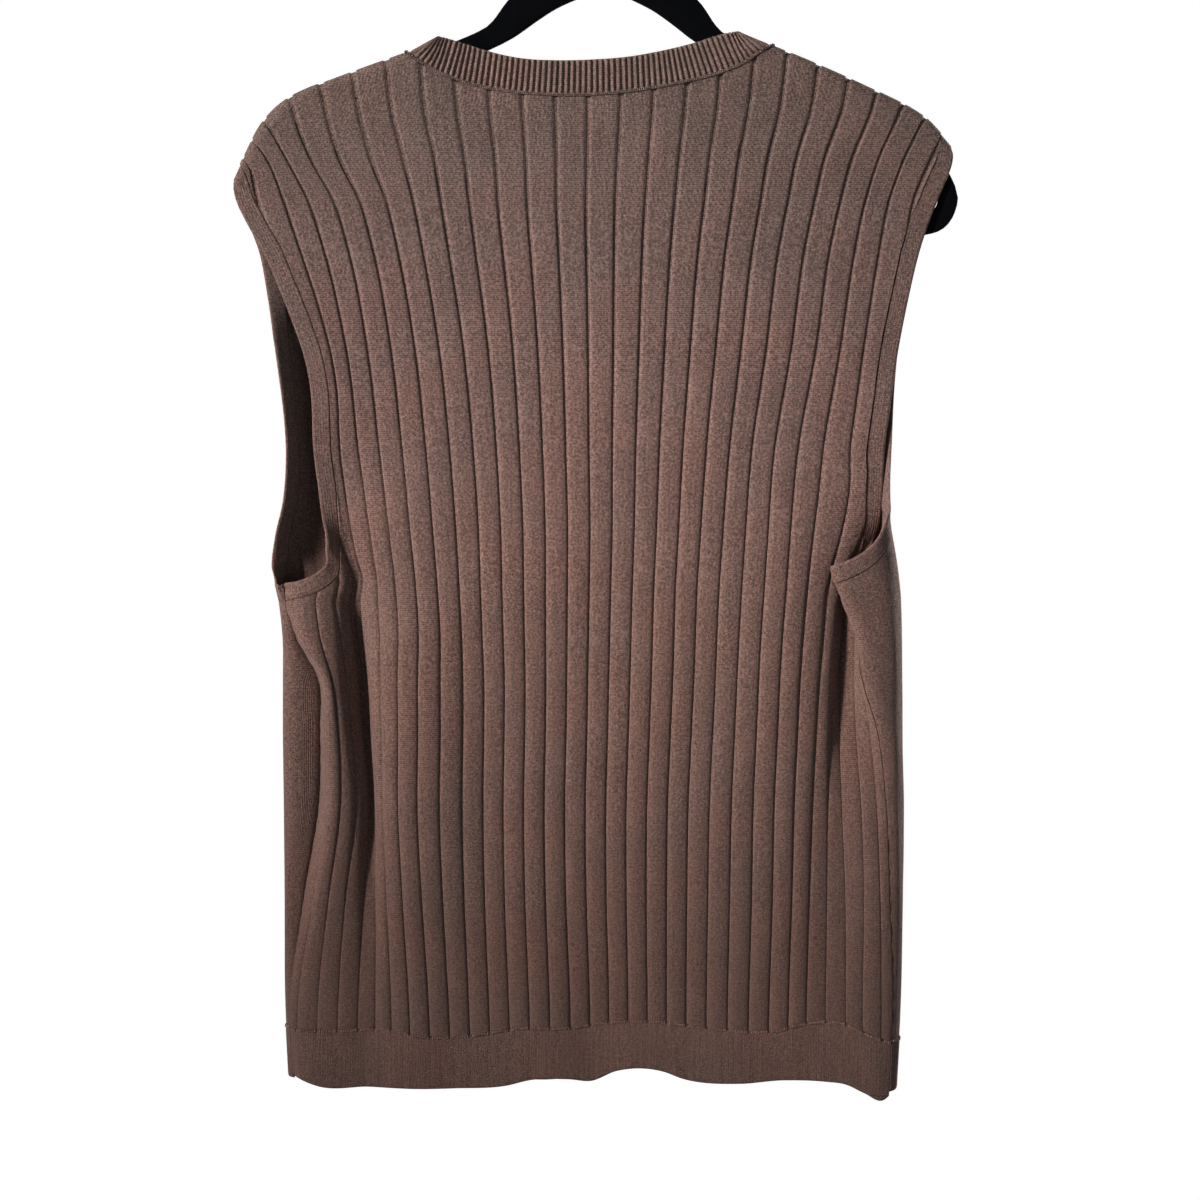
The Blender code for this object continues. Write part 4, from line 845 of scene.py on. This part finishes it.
def armhole_loop(side, steps):
    """Stations once round an armhole: down the back's edge and up the front's."""
    return armhole_stations(side, False, steps) + armhole_stations(side, True, steps)[-2:0:-1]


def flatness(heights):
    """0 near the shoulders, where the band lies flat, to 1 where it follows the cloth."""
    return np.clip((TURN_START - heights) / ARM_FLAT_FADE, 0.0, 1.0)


def away_directions(stations, side):
    """Base points, outward directions and the directions in which the band stands."""
    ribs, heights = np.array(stations).T
    base, outward = draped(ribs, heights)
    along = unit(np.roll(base, -1, axis=0) - np.roll(base, 1, axis=0))
    across = np.cross(outward, along) * side
    across[:, 1] *= flatness(heights)
    local = np.where(ribs < SEAM_RIB, np.abs(ribs), np.abs(np.mod(ribs, LOOP_RIBS) - MIDDLE_FRONT))
    under = np.clip(local - UPPER_EDGE_RIB - 0.2, 0.0, 1.0) * (heights < ARMHOLE_KNEE)
    under *= 1.0 - along[:, 2] ** 2
    return base, outward, across, across + np.array([0.0, 0.0, UPRIGHT]) * under[:, None], heights


def square_to(ways, outward):
    """Directions laid into the surface that stands square to outward."""
    return ways - outward * np.sum(ways * outward, axis=1)[:, None]


def armhole(name, side, material):
    """The folded band round an armhole, with fine ribs along it."""
    coarse = armhole_loop(side, 1)
    _, outward, _, away, heights = away_directions(coarse, side)
    for _ in range(AWAY_PASSES):
        away = square_to(evened(away), outward)
        away[:, 1] *= flatness(heights)
        away = unit(away)
    fine = armhole_loop(side, ARM_STEPS)
    base, outward, across, _, _ = away_directions(fine, side)
    places = np.arange(len(fine)) / ARM_STEPS
    away = between(places, np.arange(len(away) + 1), np.concatenate([away, away[:1]]))
    tips = base + square_to(away, outward) * ARM_BAND_WIDTH
    for _ in range(TIP_PASSES[side > 0]):
        tips = evened(tips)
    way = tips - base
    half = ARM_BAND_WALL / 2
    near = base - across * 0.1 - outward * 0.25
    sections = []
    for share in ARM_SHARES:
        roll = rounded_off(share, 0.14)
        rib = ARM_RIB_RISE * math.cos(2 * math.pi * share * ARM_RIBS) * roll
        lift = half + half * roll * min(1.0, 0.05 + share * 14) + rib
        sections.append(near + way * share + outward * lift)
    for share in ARM_INNER_SHARES:
        sections.append(near + way * share + outward * (half - half * rounded_off(share, 0.14)))
    wales = np.concatenate([ARM_SHARES, ARM_INNER_SHARES]) * ARM_BAND_WIDTH / YARN_WIDTH
    uv = np.stack(np.meshgrid(wales, run_lengths(base) / COURSE), axis=2)
    return make(name, *closed_ring(np.stack(sections, axis=1)), material, uv.reshape(-1, 2))


# ---- neckband
NECK_STEPS = 8  # stations for each fine rib
NECK_FINE_PITCH = 3.7  # width of a fine rib at the seam
NECK_TUCK = 0.4  # the band starts this far under the panels' edge
NECK_RIB_RISE = 1.75
NECK_FAN = (
    # x of a fine rib at the seam, x of the same rib at the free edge
    (-126, -105), (-115.9, -104), (-105.8, -98.9), (-100.8, -94.5), (-89.5, -85.4), (-78.8, -75.6),
    (-66.8, -64.3), (-11.3, -11.3), (35.9, 33.4), (52.6, 46.9), (66.1, 58.5), (76.9, 68.3),
    (86, 76), (95.4, 79.2), (103, 80),
)
NECK_SHARES = (0.0, 0.06, 0.14, 0.26, 0.42, 0.58, 0.74, 0.86, 0.93, 0.975, 1.0)


def rib_at(xs, heights, front):
    """Rib coordinates of the points at x and height on the back or the front."""
    ribs = np.arange(-12.0, 12.1, 1.0)
    if front:
        ribs = MIDDLE_FRONT - ribs
    every = body(np.tile(ribs, len(xs)), np.repeat(heights, len(ribs)))[:, 0].reshape(len(xs), -1)
    return np.array([np.interp(x, row, ribs) for x, row in zip(xs, every)])


def neck_lines():
    """Seam point, free edge point, side and rib phase of every station of the neckband."""
    length = sum(math.dist(a, b) for a, b in zip(BACK_NECK_SEAM, BACK_NECK_SEAM[1:]))
    count = round(length / NECK_FINE_PITCH) * NECK_STEPS
    back_seam = table_points(BACK_NECK_SEAM, np.arange(count) / count)
    fan = np.array(NECK_FAN)
    top_x = smooth(fan[:, 0], fan[:, 1], back_seam[:, 0])
    legs = []
    for end in (-1, 0):
        number = round(math.dist(BACK_NECK_SEAM[end], V_SEAM_POINT) / NECK_FINE_PITCH)
        shares = np.arange(number * NECK_STEPS) / (number * NECK_STEPS)
        lines = [np.array([v_line(table[end], point, share) for share in shares])
                 for table, point in ((BACK_NECK_SEAM, V_SEAM_POINT), (BACK_NECK_TOP, V_TOP_POINT))]
        legs.append((*lines, shares * number))
    back_top = np.stack([top_x, on_table(BACK_NECK_TOP, top_x)], axis=1)
    starts = (back_seam, back_top, np.arange(count) / NECK_STEPS)
    points = ([V_SEAM_POINT], [V_TOP_POINT], [0.0])
    seam, edge, phase = (np.concatenate([start, right, point, left[::-1]])
                         for start, right, point, left in zip(starts, legs[0], points, legs[1]))
    front = np.arange(len(seam)) >= count
    for side in (False, True):
        xs, zs = panel_top(side)
        chosen = front == side
        seam[chosen, 1] = np.maximum(seam[chosen, 1], np.interp(seam[chosen, 0], xs, zs))
    return seam, edge, front, phase


def table_points(table, shares):
    """Points at shares of the length of a smooth curve through a table."""
    xs = np.linspace(table[0][0], table[-1][0], 400)
    points = np.stack([xs, on_table(table, xs)], axis=1)
    lengths = run_lengths(points)
    x = np.interp(shares * lengths[-1], lengths, xs)
    return np.stack([x, np.interp(x, xs, points[:, 1])], axis=1)


def panel_top(front):
    """x and height along a panel's upper edge."""
    local = panel_columns(front)[0] - MIDDLES[front]
    local = local[np.abs(local) <= SHOULDER_RIB]
    tops = top_heights(local, front)
    x, _, z = body(column_rib(local, tops, front), tops).T
    order = np.argsort(x)
    return x[order], z[order]


def cloth_at(points, fronts):
    """Inside points and outward directions at (x, height) places."""
    base = np.empty((len(points), 3))
    outward = np.empty((len(points), 3))
    for side in (False, True):
        chosen = fronts == side
        x, z = points[chosen].T
        base[chosen], outward[chosen] = draped(rib_at(x, z, side), z)
    return base, outward


def neck_rib(name, material):
    """The neckband in fine ribs round the back neck and the V, and its seam line."""
    seam, edge, front, phase = neck_lines()
    near = seam - unit(edge - seam) * NECK_TUCK
    levels = [cloth_at(near + (edge - near) * share, front) for share in (0.0, 0.5, 1.0)]
    rib = (0.5 - 0.5 * np.cos(2 * math.pi * phase)) ** 0.8
    half = NECK_BAND_WALL / 2
    sections = []
    shares = NECK_SHARES + NECK_SHARES[:-1][::-1][::2]
    for place, share in enumerate(shares):
        weights = (2 * (share - 0.5) * (share - 1), -4 * share * (share - 1),
                   2 * share * (share - 0.5))
        base, outward = (sum(level[k] * weight for level, weight in zip(levels, weights))
                         for k in (0, 1))
        roll = rounded_off(share, 0.09)
        lift = half + roll * (half * 0.35 + NECK_RIB_RISE * rib * min(1.0, 0.35 + share * 5))
        if place >= len(NECK_SHARES):
            lift = np.full(len(rib), half - half * roll)
        sections.append(base + unit(outward) * lift[:, None])
    uv = np.stack(np.meshgrid(np.array(shares) * 20.0 / COURSE, phase * 3.0)[::-1], axis=2)
    piece = make(name, *closed_ring(np.stack(sections, axis=1)), material, uv.reshape(-1, 2))
    return piece, levels[0]


# ---- stitches
def yarn_bits(name, starts, ends, radius, material):
    """Short rounded lengths of yarn between pairs of points."""
    sides = 6
    rings = ((0.0, 0.35), (0.18, 0.95), (0.82, 0.95), (1.0, 0.35))
    way = ends - starts
    helper = np.where(np.abs(unit(way)[:, 1:2]) < 0.9, [[0.0, 1.0, 0.0]], [[1.0, 0.0, 0.0]])
    first = unit(np.cross(unit(way), helper))
    second = np.cross(unit(way), first)
    points = np.stack([starts + way * share + (first * c + second * s) * radius * size
                       for share, size in rings for c, s in circle(sides)], axis=1).reshape(-1, 3)
    faces = []
    for at in range(0, len(points), sides * len(rings)):
        faces += ring_faces(len(rings), sides, at=at)
        faces.append(tuple(range(at, at + sides))[::-1])
        faces.append(tuple(range(at + (len(rings) - 1) * sides, at + len(rings) * sides)))
    uv = np.stack([points[:, 0] / YARN_WIDTH, points[:, 2] / COURSE], axis=1)
    return make(name, points, faces, material, uv, weld=False)


def circle(sides):
    """Cosine and sine of even turns once round."""
    turns = [2 * math.pi * k / sides for k in range(sides)]
    return [(math.cos(turn), math.sin(turn)) for turn in turns]


def spaced(line, outward, pitch):
    """Places at an even pitch round a closed line of points, with directions along and outward."""
    line = np.concatenate([line, line[:1]])
    run = run_lengths(line)
    at = np.arange(pitch / 2, run[-1], pitch)
    place = between(at, run, line)
    along = between(at + 0.3, run, line) - place
    along[np.linalg.norm(along, axis=1) < 1e-6] = (1.0, 0.0, 0.0)
    return place, unit(along), unit(between(at, run, np.concatenate([outward, outward[:1]])))


LINK_PITCH = 1.3
LINK_RADIUS = 0.36
SHADOW_ROW_RADIUS = 1.45  # of the dark row under the chain: painted shadow between the stitches


def linking(name, line, outward, material, painted_shadow_material):
    """The chain of loops that links the neckband to the panels, and a dark row under it: painted
    shadow.
    """
    place, along, out = spaced(line, outward, LINK_PITCH)
    up = unit(np.cross(along, out))
    shadow_line = place + out * 1.6 + up * 0.1
    # the dark row is painted shadow between the chain's stitches, not yarn of its own
    row = yarn_bits(name + "_shadow_row", shadow_line - along * 0.85, shadow_line + along * 0.85, SHADOW_ROW_RADIUS, painted_shadow_material)
    lift = place + out * 3.15 + up * 0.1
    starts = np.concatenate([lift - along * 0.6, lift - along * 0.6 + out * 0.05])
    ends = np.concatenate([lift + along * 0.5 + up * 0.85, lift + along * 0.5 - up * 0.85])
    return yarn_bits(name, starts, ends, LINK_RADIUS, material), row


def hem_stitches(name, material):
    """Light loops along the join of the ribs and the hem, on the back and the front."""
    starts, ends = [], []
    for front in (False, True):
        ribs = np.arange(-15.4, 15.4, 1 / WALES_IN_RIB) + MIDDLES[front] + 0.5 / WALES_IN_RIB
        if not front:
            ribs = ribs[np.abs(np.mod(ribs, 1.0) - 0.5) < 0.4]
        join = join_heights(ribs)
        low, low_out = draped(ribs, join - 1.9)
        high, high_out = draped(ribs, join + 0.1)
        lift = np.full(len(ribs), 2.2) if front else 2.3 + 0.25 * rib_height(ribs, join)
        starts.append(low + low_out * 2.25)
        ends.append(high + high_out * lift[:, None])
    return yarn_bits(name, np.concatenate(starts), np.concatenate(ends), LINK_RADIUS, material)


# ---- hanger
def hanger_stations():
    """Outer and inner edges of the hanger's ring, rounded between the table's rows."""
    mirrored = [(-row[0], row[1], -row[2], row[3]) for row in HANGER_HALF[-2:0:-1]]
    table = np.array(list(HANGER_HALF) + mirrored)
    rows = []
    for i in range(len(table)):
        before, a, b, after = (table[(i + k) % len(table)] for k in (-1, 0, 1, 2))
        gap = math.dist(a[:2], b[:2])
        pieces = max(1, int(gap / 4.0)) if gap < 60 else 12
        curved = gap < LONG_GAP
        leave = (b - before) / 2 if curved and math.dist(before[:2], a[:2]) < LONG_GAP else b - a
        arrive = (after - a) / 2 if curved and math.dist(b[:2], after[:2]) < LONG_GAP else b - a
        rows += [hermite(a, b, leave, arrive, n / pieces) for n in range(pieces)]
    return np.array(rows)


def hanger(name, material):
    """The thin flocked hanger: a flat ring with rounded edges."""
    rows = hanger_stations()
    outer, inner = rows[:, :2], rows[:, 2:]
    way = unit(inner - outer)
    sections = []
    corners = ((outer, 1, -1), (inner, -1, -1), (inner, -1, 1), (outer, 1, 1))
    for corner, (edge, inward, face) in enumerate(corners):
        for angle in np.linspace(0, math.pi / 2, 5):
            near, far = HANGER_ROUND * (1 - math.cos(angle)), HANGER_ROUND * (1 - math.sin(angle))
            if corner % 2:
                near, far = far, near
            at = edge + way * inward * near
            depth = np.full(len(at), face * (HANGER_THICK / 2 - far))
            sections.append(np.stack(tilted((at[:, 0], depth, at[:, 1])), axis=1))
    return make(name, *closed_ring(np.stack(sections, axis=1)), material, sharp=70.0)


def swept_wire(name, route, radius, sides, material):
    """A round wire along a route in the hanger's plane, with domed ends."""
    fine = []
    for i in range(len(route) - 1):
        before, a, b, after = (np.array(route[min(max(i + k, 0), len(route) - 1)])
                               for k in (-1, 0, 1, 2))
        fine += [hermite(a, b, (b - before) / 2, (after - a) / 2, n / 4) for n in range(4)]
    fine.append(route[-1])
    line = np.array([tilted((x, 0.0, z)) for x, z in fine])
    along = unit(np.gradient(line, axis=0))
    flat = np.cross(along, [0.0, 1.0, 0.0])
    turns = np.radians((30, 55, 75, 88))
    rings = [(line[0] - along[0] * radius * math.sin(t), flat[0], radius * math.cos(t))
             for t in turns[::-1]]
    rings += [(place, side, radius) for place, side in zip(line, flat)]
    rings += [(line[-1] + along[-1] * radius * math.sin(t), flat[-1], radius * math.cos(t))
              for t in turns]
    points = [centre + (side * c + np.array([0, 1, 0]) * s) * size
              for centre, side, size in rings for c, s in circle(sides)]
    faces = ring_faces(len(rings), sides)
    faces.append(tuple(range(sides)))
    faces.append(tuple(range(len(points) - sides, len(points)))[::-1])
    return make(name, points, faces, material, sharp=70.0)


def collar(name, material):
    """The turned collar under the hook, with a bead at its foot."""
    foot = HANGER_HALF[0][1] + PIECE_GAP
    top = foot + COLLAR_HEIGHT
    bore = HOOK_WIRE + 0.2
    profile = [(bore, foot)]
    profile += [(COLLAR_RADIUS - inward, foot + rise) for inward, rise in COLLAR_FOOT]
    profile += [(COLLAR_RADIUS - inward, top - drop) for inward, drop in COLLAR_TOP]
    profile.append((bore, top))
    sections = [[tilted((radius * c, radius * s, z)) for radius, z in profile]
                for c, s in circle(56)]
    return make(name, *closed_ring(np.array(sections)), material, sharp=35.0)


# ---- materials
class Nodes:
    """Short hand for building a node tree."""

    def __init__(self, name, **constants):
        self.material = bpy.data.materials.new(name)
        self.material.use_nodes = True
        self.tree = self.material.node_tree
        self.shader = self.tree.nodes["Principled BSDF"]
        coordinates = self.add("ShaderNodeTexCoord")
        self.stitches = coordinates.outputs["UV"]
        self.place = coordinates.outputs["Object"]
        for socket, value in constants.items():
            self.shader.inputs[socket.replace("_", " ")].default_value = value

    def add(self, kind, **settings):
        node = self.tree.nodes.new(kind)
        for key, value in settings.items():
            setattr(node, key, value)
        return node

    def link(self, source, target):
        self.tree.links.new(source, target)

    def math(self, operation, *values):
        node = self.add("ShaderNodeMath", operation=operation)
        for socket, value in zip(node.inputs, values):
            if isinstance(value, (int, float)):
                socket.default_value = value
            else:
                self.link(value, socket)
        return node.outputs[0]

    def split(self, vector):
        node = self.add("ShaderNodeSeparateXYZ")
        self.link(vector, node.inputs[0])
        return node.outputs

    def scale(self, vector, factors):
        node = self.add("ShaderNodeMapping")
        node.inputs["Scale"].default_value = factors
        self.link(vector, node.inputs["Vector"])
        return node.outputs[0]

    def tint(self, colour, factor):
        node = self.add("ShaderNodeVectorMath", operation="MULTIPLY")
        self.link(colour, node.inputs[0])
        self.link(factor, node.inputs[1])
        return node.outputs[0]

    def noise(self, vector, scale, detail, roughness):
        node = self.add("ShaderNodeTexNoise")
        for socket, value in (("Scale", scale), ("Detail", detail), ("Roughness", roughness)):
            node.inputs[socket].default_value = value
        self.link(vector, node.inputs["Vector"])
        return node.outputs["Fac"]

    def bump(self, height, distance, strength, before=None):
        node = self.add("ShaderNodeBump")
        node.inputs["Distance"].default_value = distance
        node.inputs["Strength"].default_value = strength
        self.link(height, node.inputs["Height"])
        if before is not None:
            self.link(before, node.inputs["Normal"])
        return node.outputs["Normal"]

    def ramp(self, value, stops):
        node = self.add("ShaderNodeValToRGB")
        while len(node.color_ramp.elements) < len(stops):
            node.color_ramp.elements.new(0.5)
        for element, (place, colour) in zip(node.color_ramp.elements, stops):
            element.position = place
            element.color = (*colour, 1.0)
        self.link(value, node.inputs["Fac"])
        return node.outputs["Color"]

    def finish(self, **links):
        """Link the shader's varying sockets, and give the material."""
        for socket, value in links.items():
            self.link(value, self.shader.inputs[socket.replace("_", " ")])
        return self.material


def scaled(colour, factor):
    """A colour made lighter or darker."""
    return tuple(channel * factor for channel in colour)


KNIT_COLOUR = (0.150, 0.0850, 0.0682)
KNIT_HUES = ((0.36, (0.97, 1.01, 1.02)), (0.64, (1.03, 0.99, 0.975)))
KNIT_BOTTOM = 0.80  # metres below the rail
KNIT_HEIGHT = 0.65
# painted light and shade: the knit is made darker towards the hem and lighter across the middle, as
# the light falls off down the vest; the hue also turns redder towards the bottom
KNIT_PAINTED_SHADE = (
    # share of the way up the vest, and what the colour is multiplied by there
    (0.0, (0.86, 0.80, 0.76)), (0.09, (0.89, 0.83, 0.795)), (0.16, (0.88, 0.80, 0.745)),
    (0.31, (1.0, 0.94, 0.915)), (0.43, (1.07, 0.995, 0.955)), (0.545, (1.11, 1.035, 1.03)),
    (0.66, (1.075, 1.035, 1.055)), (0.78, (1.03, 1.04, 1.07)), (1.0, (1.0, 1.08, 1.10)),
)
STITCH_TONE, FUZZ_TONE, YARN_TONE, CLOUD_TONE = 0.70, 1.2, 1.35, 0.22


def knit_material(name, factor=1.0, bump=1.0, streaks=0.35, seam=False):
    """Fine stockinette: wales and courses from the stitch map, a fuzzy uneven yarn."""
    n = Nodes(name, Roughness=0.92, Specular_IOR_Level=0.25, Sheen_Weight=0.08,
              Sheen_Roughness=0.45, Sheen_Tint=(1.0, 0.86, 0.8, 1.0))
    wale, course, _ = n.split(n.stitches)
    across = n.math("ABSOLUTE", n.math("SUBTRACT", n.math("FRACT", wale), 0.5))
    slant = n.math("MULTIPLY_ADD", across, 0.9, course)
    leg = n.math("SINE", n.math("MULTIPLY", across, 2 * math.pi))
    row = n.math("SINE", n.math("MULTIPLY", slant, 2 * math.pi))
    stitch = n.math("MULTIPLY", leg, n.math("MULTIPLY_ADD", row, 0.24, 0.70))
    fuzz = n.noise(n.place, 1050.0, 3.0, 0.65)
    yarn = n.noise(n.place, 720.0, 2.0, 0.6)
    streak = n.noise(n.scale(n.stitches, (0.8, 0.03, 1.0)), 1.0, 2.0, 0.5)
    cloud = n.noise(n.place, 26.0, 3.0, 0.55)
    parts = ((stitch, STITCH_TONE), (fuzz, FUZZ_TONE), (yarn, YARN_TONE), (streak, streaks),
             (cloud, CLOUD_TONE))
    tone = 0.0
    for part, weight in parts:
        tone = n.math("MULTIPLY_ADD", part, weight, tone)
    middle = sum(weight for _, weight in parts) / 2
    height = n.split(n.place)[2]
    strength = n.math("MULTIPLY_ADD", height, 2.4, 2.55)
    tone = n.math("MULTIPLY_ADD", n.math("SUBTRACT", tone, middle), strength, 0.5)
    # painted shade: the band darkens towards its sewn edge, for the shade in the crease where it
    # meets the panel
    if seam:
        near = n.math("SUBTRACT", 1.0, n.math("MINIMUM", n.math("DIVIDE", wale, 0.8), 1.0))
        tone = n.math("MULTIPLY_ADD", near, -0.8, tone)
    base = scaled(KNIT_COLOUR, factor)
    light = (base[0] * 1.75, base[1] * 1.82, base[2] * 1.86)
    colour = n.ramp(tone, ((0.0, scaled(base, 0.38)), (0.5, base), (1.0, light)))
    hue = n.ramp(n.noise(n.place, 24.0, 2.0, 0.5), KNIT_HUES)
    # painted light and shade by height, multiplied over the knit's colour
    painted_shade = n.ramp(n.math("DIVIDE", n.math("ADD", height, KNIT_BOTTOM), KNIT_HEIGHT), KNIT_PAINTED_SHADE)
    soft = n.bump(n.math("MULTIPLY_ADD", yarn, 0.6, fuzz), 0.00035, 0.55 * bump)
    return n.finish(Base_Color=n.tint(n.tint(colour, hue), painted_shade),
                    Normal=n.bump(stitch, 0.00045, 0.75 * bump, soft))


def velvet_material():
    """Black flock: a dense short pile that catches a little light at its edges."""
    n = Nodes("flocked_velvet", Roughness=0.95, Specular_IOR_Level=0.04, Sheen_Weight=0.015,
              Sheen_Roughness=0.35)
    pile = n.noise(n.place, 2400.0, 2.0, 0.6)
    patch = n.noise(n.place, 70.0, 3.0, 0.6)
    tone = n.math("MULTIPLY_ADD", patch, 0.6, n.math("MULTIPLY", pile, 0.4))
    colour = n.ramp(tone, ((0.25, (0.0006, 0.0007, 0.0012)), (0.8, (0.0022, 0.0024, 0.0036))))
    return n.finish(Base_Color=colour, Normal=n.bump(pile, 0.0002, 0.7))


def steel_material():
    """Polished plated wire with faint rubbing."""
    n = Nodes("plated_wire", Metallic=1.0)
    rub = n.noise(n.scale(n.place, (900.0, 900.0, 60.0)), 1.0, 3.0, 0.6)
    cloud = n.noise(n.place, 120.0, 2.0, 0.5)
    colour = n.ramp(cloud, ((0.3, (0.62, 0.62, 0.635)), (0.7, (0.76, 0.76, 0.77))))
    return n.finish(Base_Color=colour, Roughness=n.math("MULTIPLY_ADD", rub, 0.16, 0.12),
                    Normal=n.bump(rub, 0.00003, 0.3))


# ---- studio
FLOOR_HEIGHT = -1.3
FLOOR_RADIUS = 2.3
SWEEP = 0.9
WALL_TOP = 2.6
STUDIO_SIDES = 72
STUDIO_GLOW = 0.97
WORLD_GLOW = 0.10


def studio():
    """A round pale floor that sweeps up into a plain wall all round."""
    profile = [(FLOOR_RADIUS * share, FLOOR_HEIGHT) for share in (0.0, 0.5, 1.0)]
    for k in range(1, 13):
        angle = math.pi / 2 * k / 12
        profile.append((FLOOR_RADIUS + SWEEP * math.sin(angle),
                        FLOOR_HEIGHT + SWEEP * (1 - math.cos(angle))))
    profile.append((FLOOR_RADIUS + SWEEP, WALL_TOP))
    points = [(radius * c, radius * s, z) for radius, z in profile for c, s in circle(STUDIO_SIDES)]
    mesh = bpy.data.meshes.new("studio_sweep")
    mesh.from_pydata(points, [], ring_faces(len(profile), STUDIO_SIDES))
    work = bmesh.new()
    work.from_mesh(mesh)
    bmesh.ops.remove_doubles(work, verts=work.verts, dist=0.00001)
    work.to_mesh(mesh)
    work.free()
    mesh.shade_smooth()
    sweep = bpy.data.objects.new("studio_sweep", mesh)
    bpy.context.collection.objects.link(sweep)
    paper = Nodes("studio_paper", Base_Color=(0.3, 0.3, 0.3, 1.0), Roughness=1.0,
                  Specular_IOR_Level=0.0, Emission_Color=(1.0, 1.0, 1.0, 1.0),
                  Emission_Strength=STUDIO_GLOW)
    sweep.data.materials.append(paper.material)
    sweep.visible_diffuse = False
    sweep.visible_shadow = False


LAMP_AIM = (0.0, 0.0, -0.37)
LAMP_SIZE = 0.4
LAMP_WATTS = 1900.0
LAMP_CONE = 14.0


def lamp(name, place):
    """A spotlight of the studio, aimed at the vest's upper half."""
    light = bpy.data.lights.new(name, "SPOT")
    light.shadow_soft_size = LAMP_SIZE
    light.energy = LAMP_WATTS
    light.spot_size = math.radians(LAMP_CONE)
    light.spot_blend = 1.0
    lit = bpy.data.objects.new(name, light)
    bpy.context.collection.objects.link(lit)
    lit.location = place
    lit.rotation_euler = (Vector(LAMP_AIM) - Vector(place)).to_track_quat("-Z", "Y").to_euler()


CAMERA_PLACE = (-0.00504, -1.5, -0.4725)
FRAME_WIDTH = 0.756  # what the square frame takes in at the vest's middle


def camera():
    """The camera stands level with the middle of the vest, in front of its back."""
    made = bpy.data.cameras.new("camera")
    made.sensor_fit = "HORIZONTAL"
    made.angle = 2 * math.atan(FRAME_WIDTH / 2 / -CAMERA_PLACE[1])
    made.clip_end = 50.0
    held = bpy.data.objects.new("camera", made)
    bpy.context.collection.objects.link(held)
    held.location = CAMERA_PLACE
    held.rotation_euler = (math.pi / 2, 0.0, 0.0)
    bpy.context.scene.camera = held


def lights():
    """An even dim world, one key light on the back and one on the front."""
    world = bpy.data.worlds.new("studio")
    world.use_nodes = True
    background = world.node_tree.nodes["Background"]
    background.inputs["Color"].default_value = (1.0, 1.0, 1.0, 1.0)
    background.inputs["Strength"].default_value = WORLD_GLOW
    bpy.context.scene.world = world
    lamp("key", (-3.1, -2.5, 0.7))
    lamp("key_front", (3.1, 2.5, 0.7))
    bpy.context.scene.view_settings.view_transform = "Standard"


# ---- everything
def main():
    camera()
    lights()
    studio()
    knit = knit_material("fine_knit")
    # the bands' knit is a tenth darker than the body's, painted shade, and darkens along its sewn
    # edge, painted shade too
    band = knit_material("band_knit", 0.90, 0.8, seam=True)
    hem_cloth = knit_material("hem_knit", 1.08, 0.9, streaks=0.9)
    neck = knit_material("neck_knit", 1.12, 0.6)
    thread = knit_material("linking_yarn", 1.3, 0.5)
    # a very dark copy of the knit for the row under the neck's chain: painted shadow
    painted_shadow_knit = knit_material("linking_shadow_row", 0.22, 0.5)
    light_loops = knit_material("hem_loops", 1.9, 0.4)
    back = knit_panel("back_knit", False, knit)
    front = knit_panel("front_knit", True, knit)
    hem_back = hem("hem_back", False, hem_cloth)
    hem_front = hem("hem_front", True, hem_cloth)
    left = armhole("armhole_left", -1, band)
    right = armhole("armhole_right", 1, band)
    neckband, (line, outward) = neck_rib("neck_rib", neck)
    # row: the dark row of painted shadow under the chain
    chain, row = linking("neck_linking", line, outward, thread, painted_shadow_knit)
    loops = hem_stitches("hem_loops", light_loops)
    body_piece = hanger("velvet_hanger", velvet_material())
    steel = steel_material()
    hook = swept_wire("steel_hook", hook_route(), HOOK_WIRE, 24, steel)
    ring = collar("steel_collar", steel)
    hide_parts("back_panel")
    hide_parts("front_panel")
    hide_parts("hem_band_back")
    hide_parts("hem_band_front")
    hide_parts("armhole_band_left")
    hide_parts("armhole_band_right")
    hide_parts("neckband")
    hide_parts("hanger_body")
    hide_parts("hanger_hook")
    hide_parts("hanger_collar")


main()
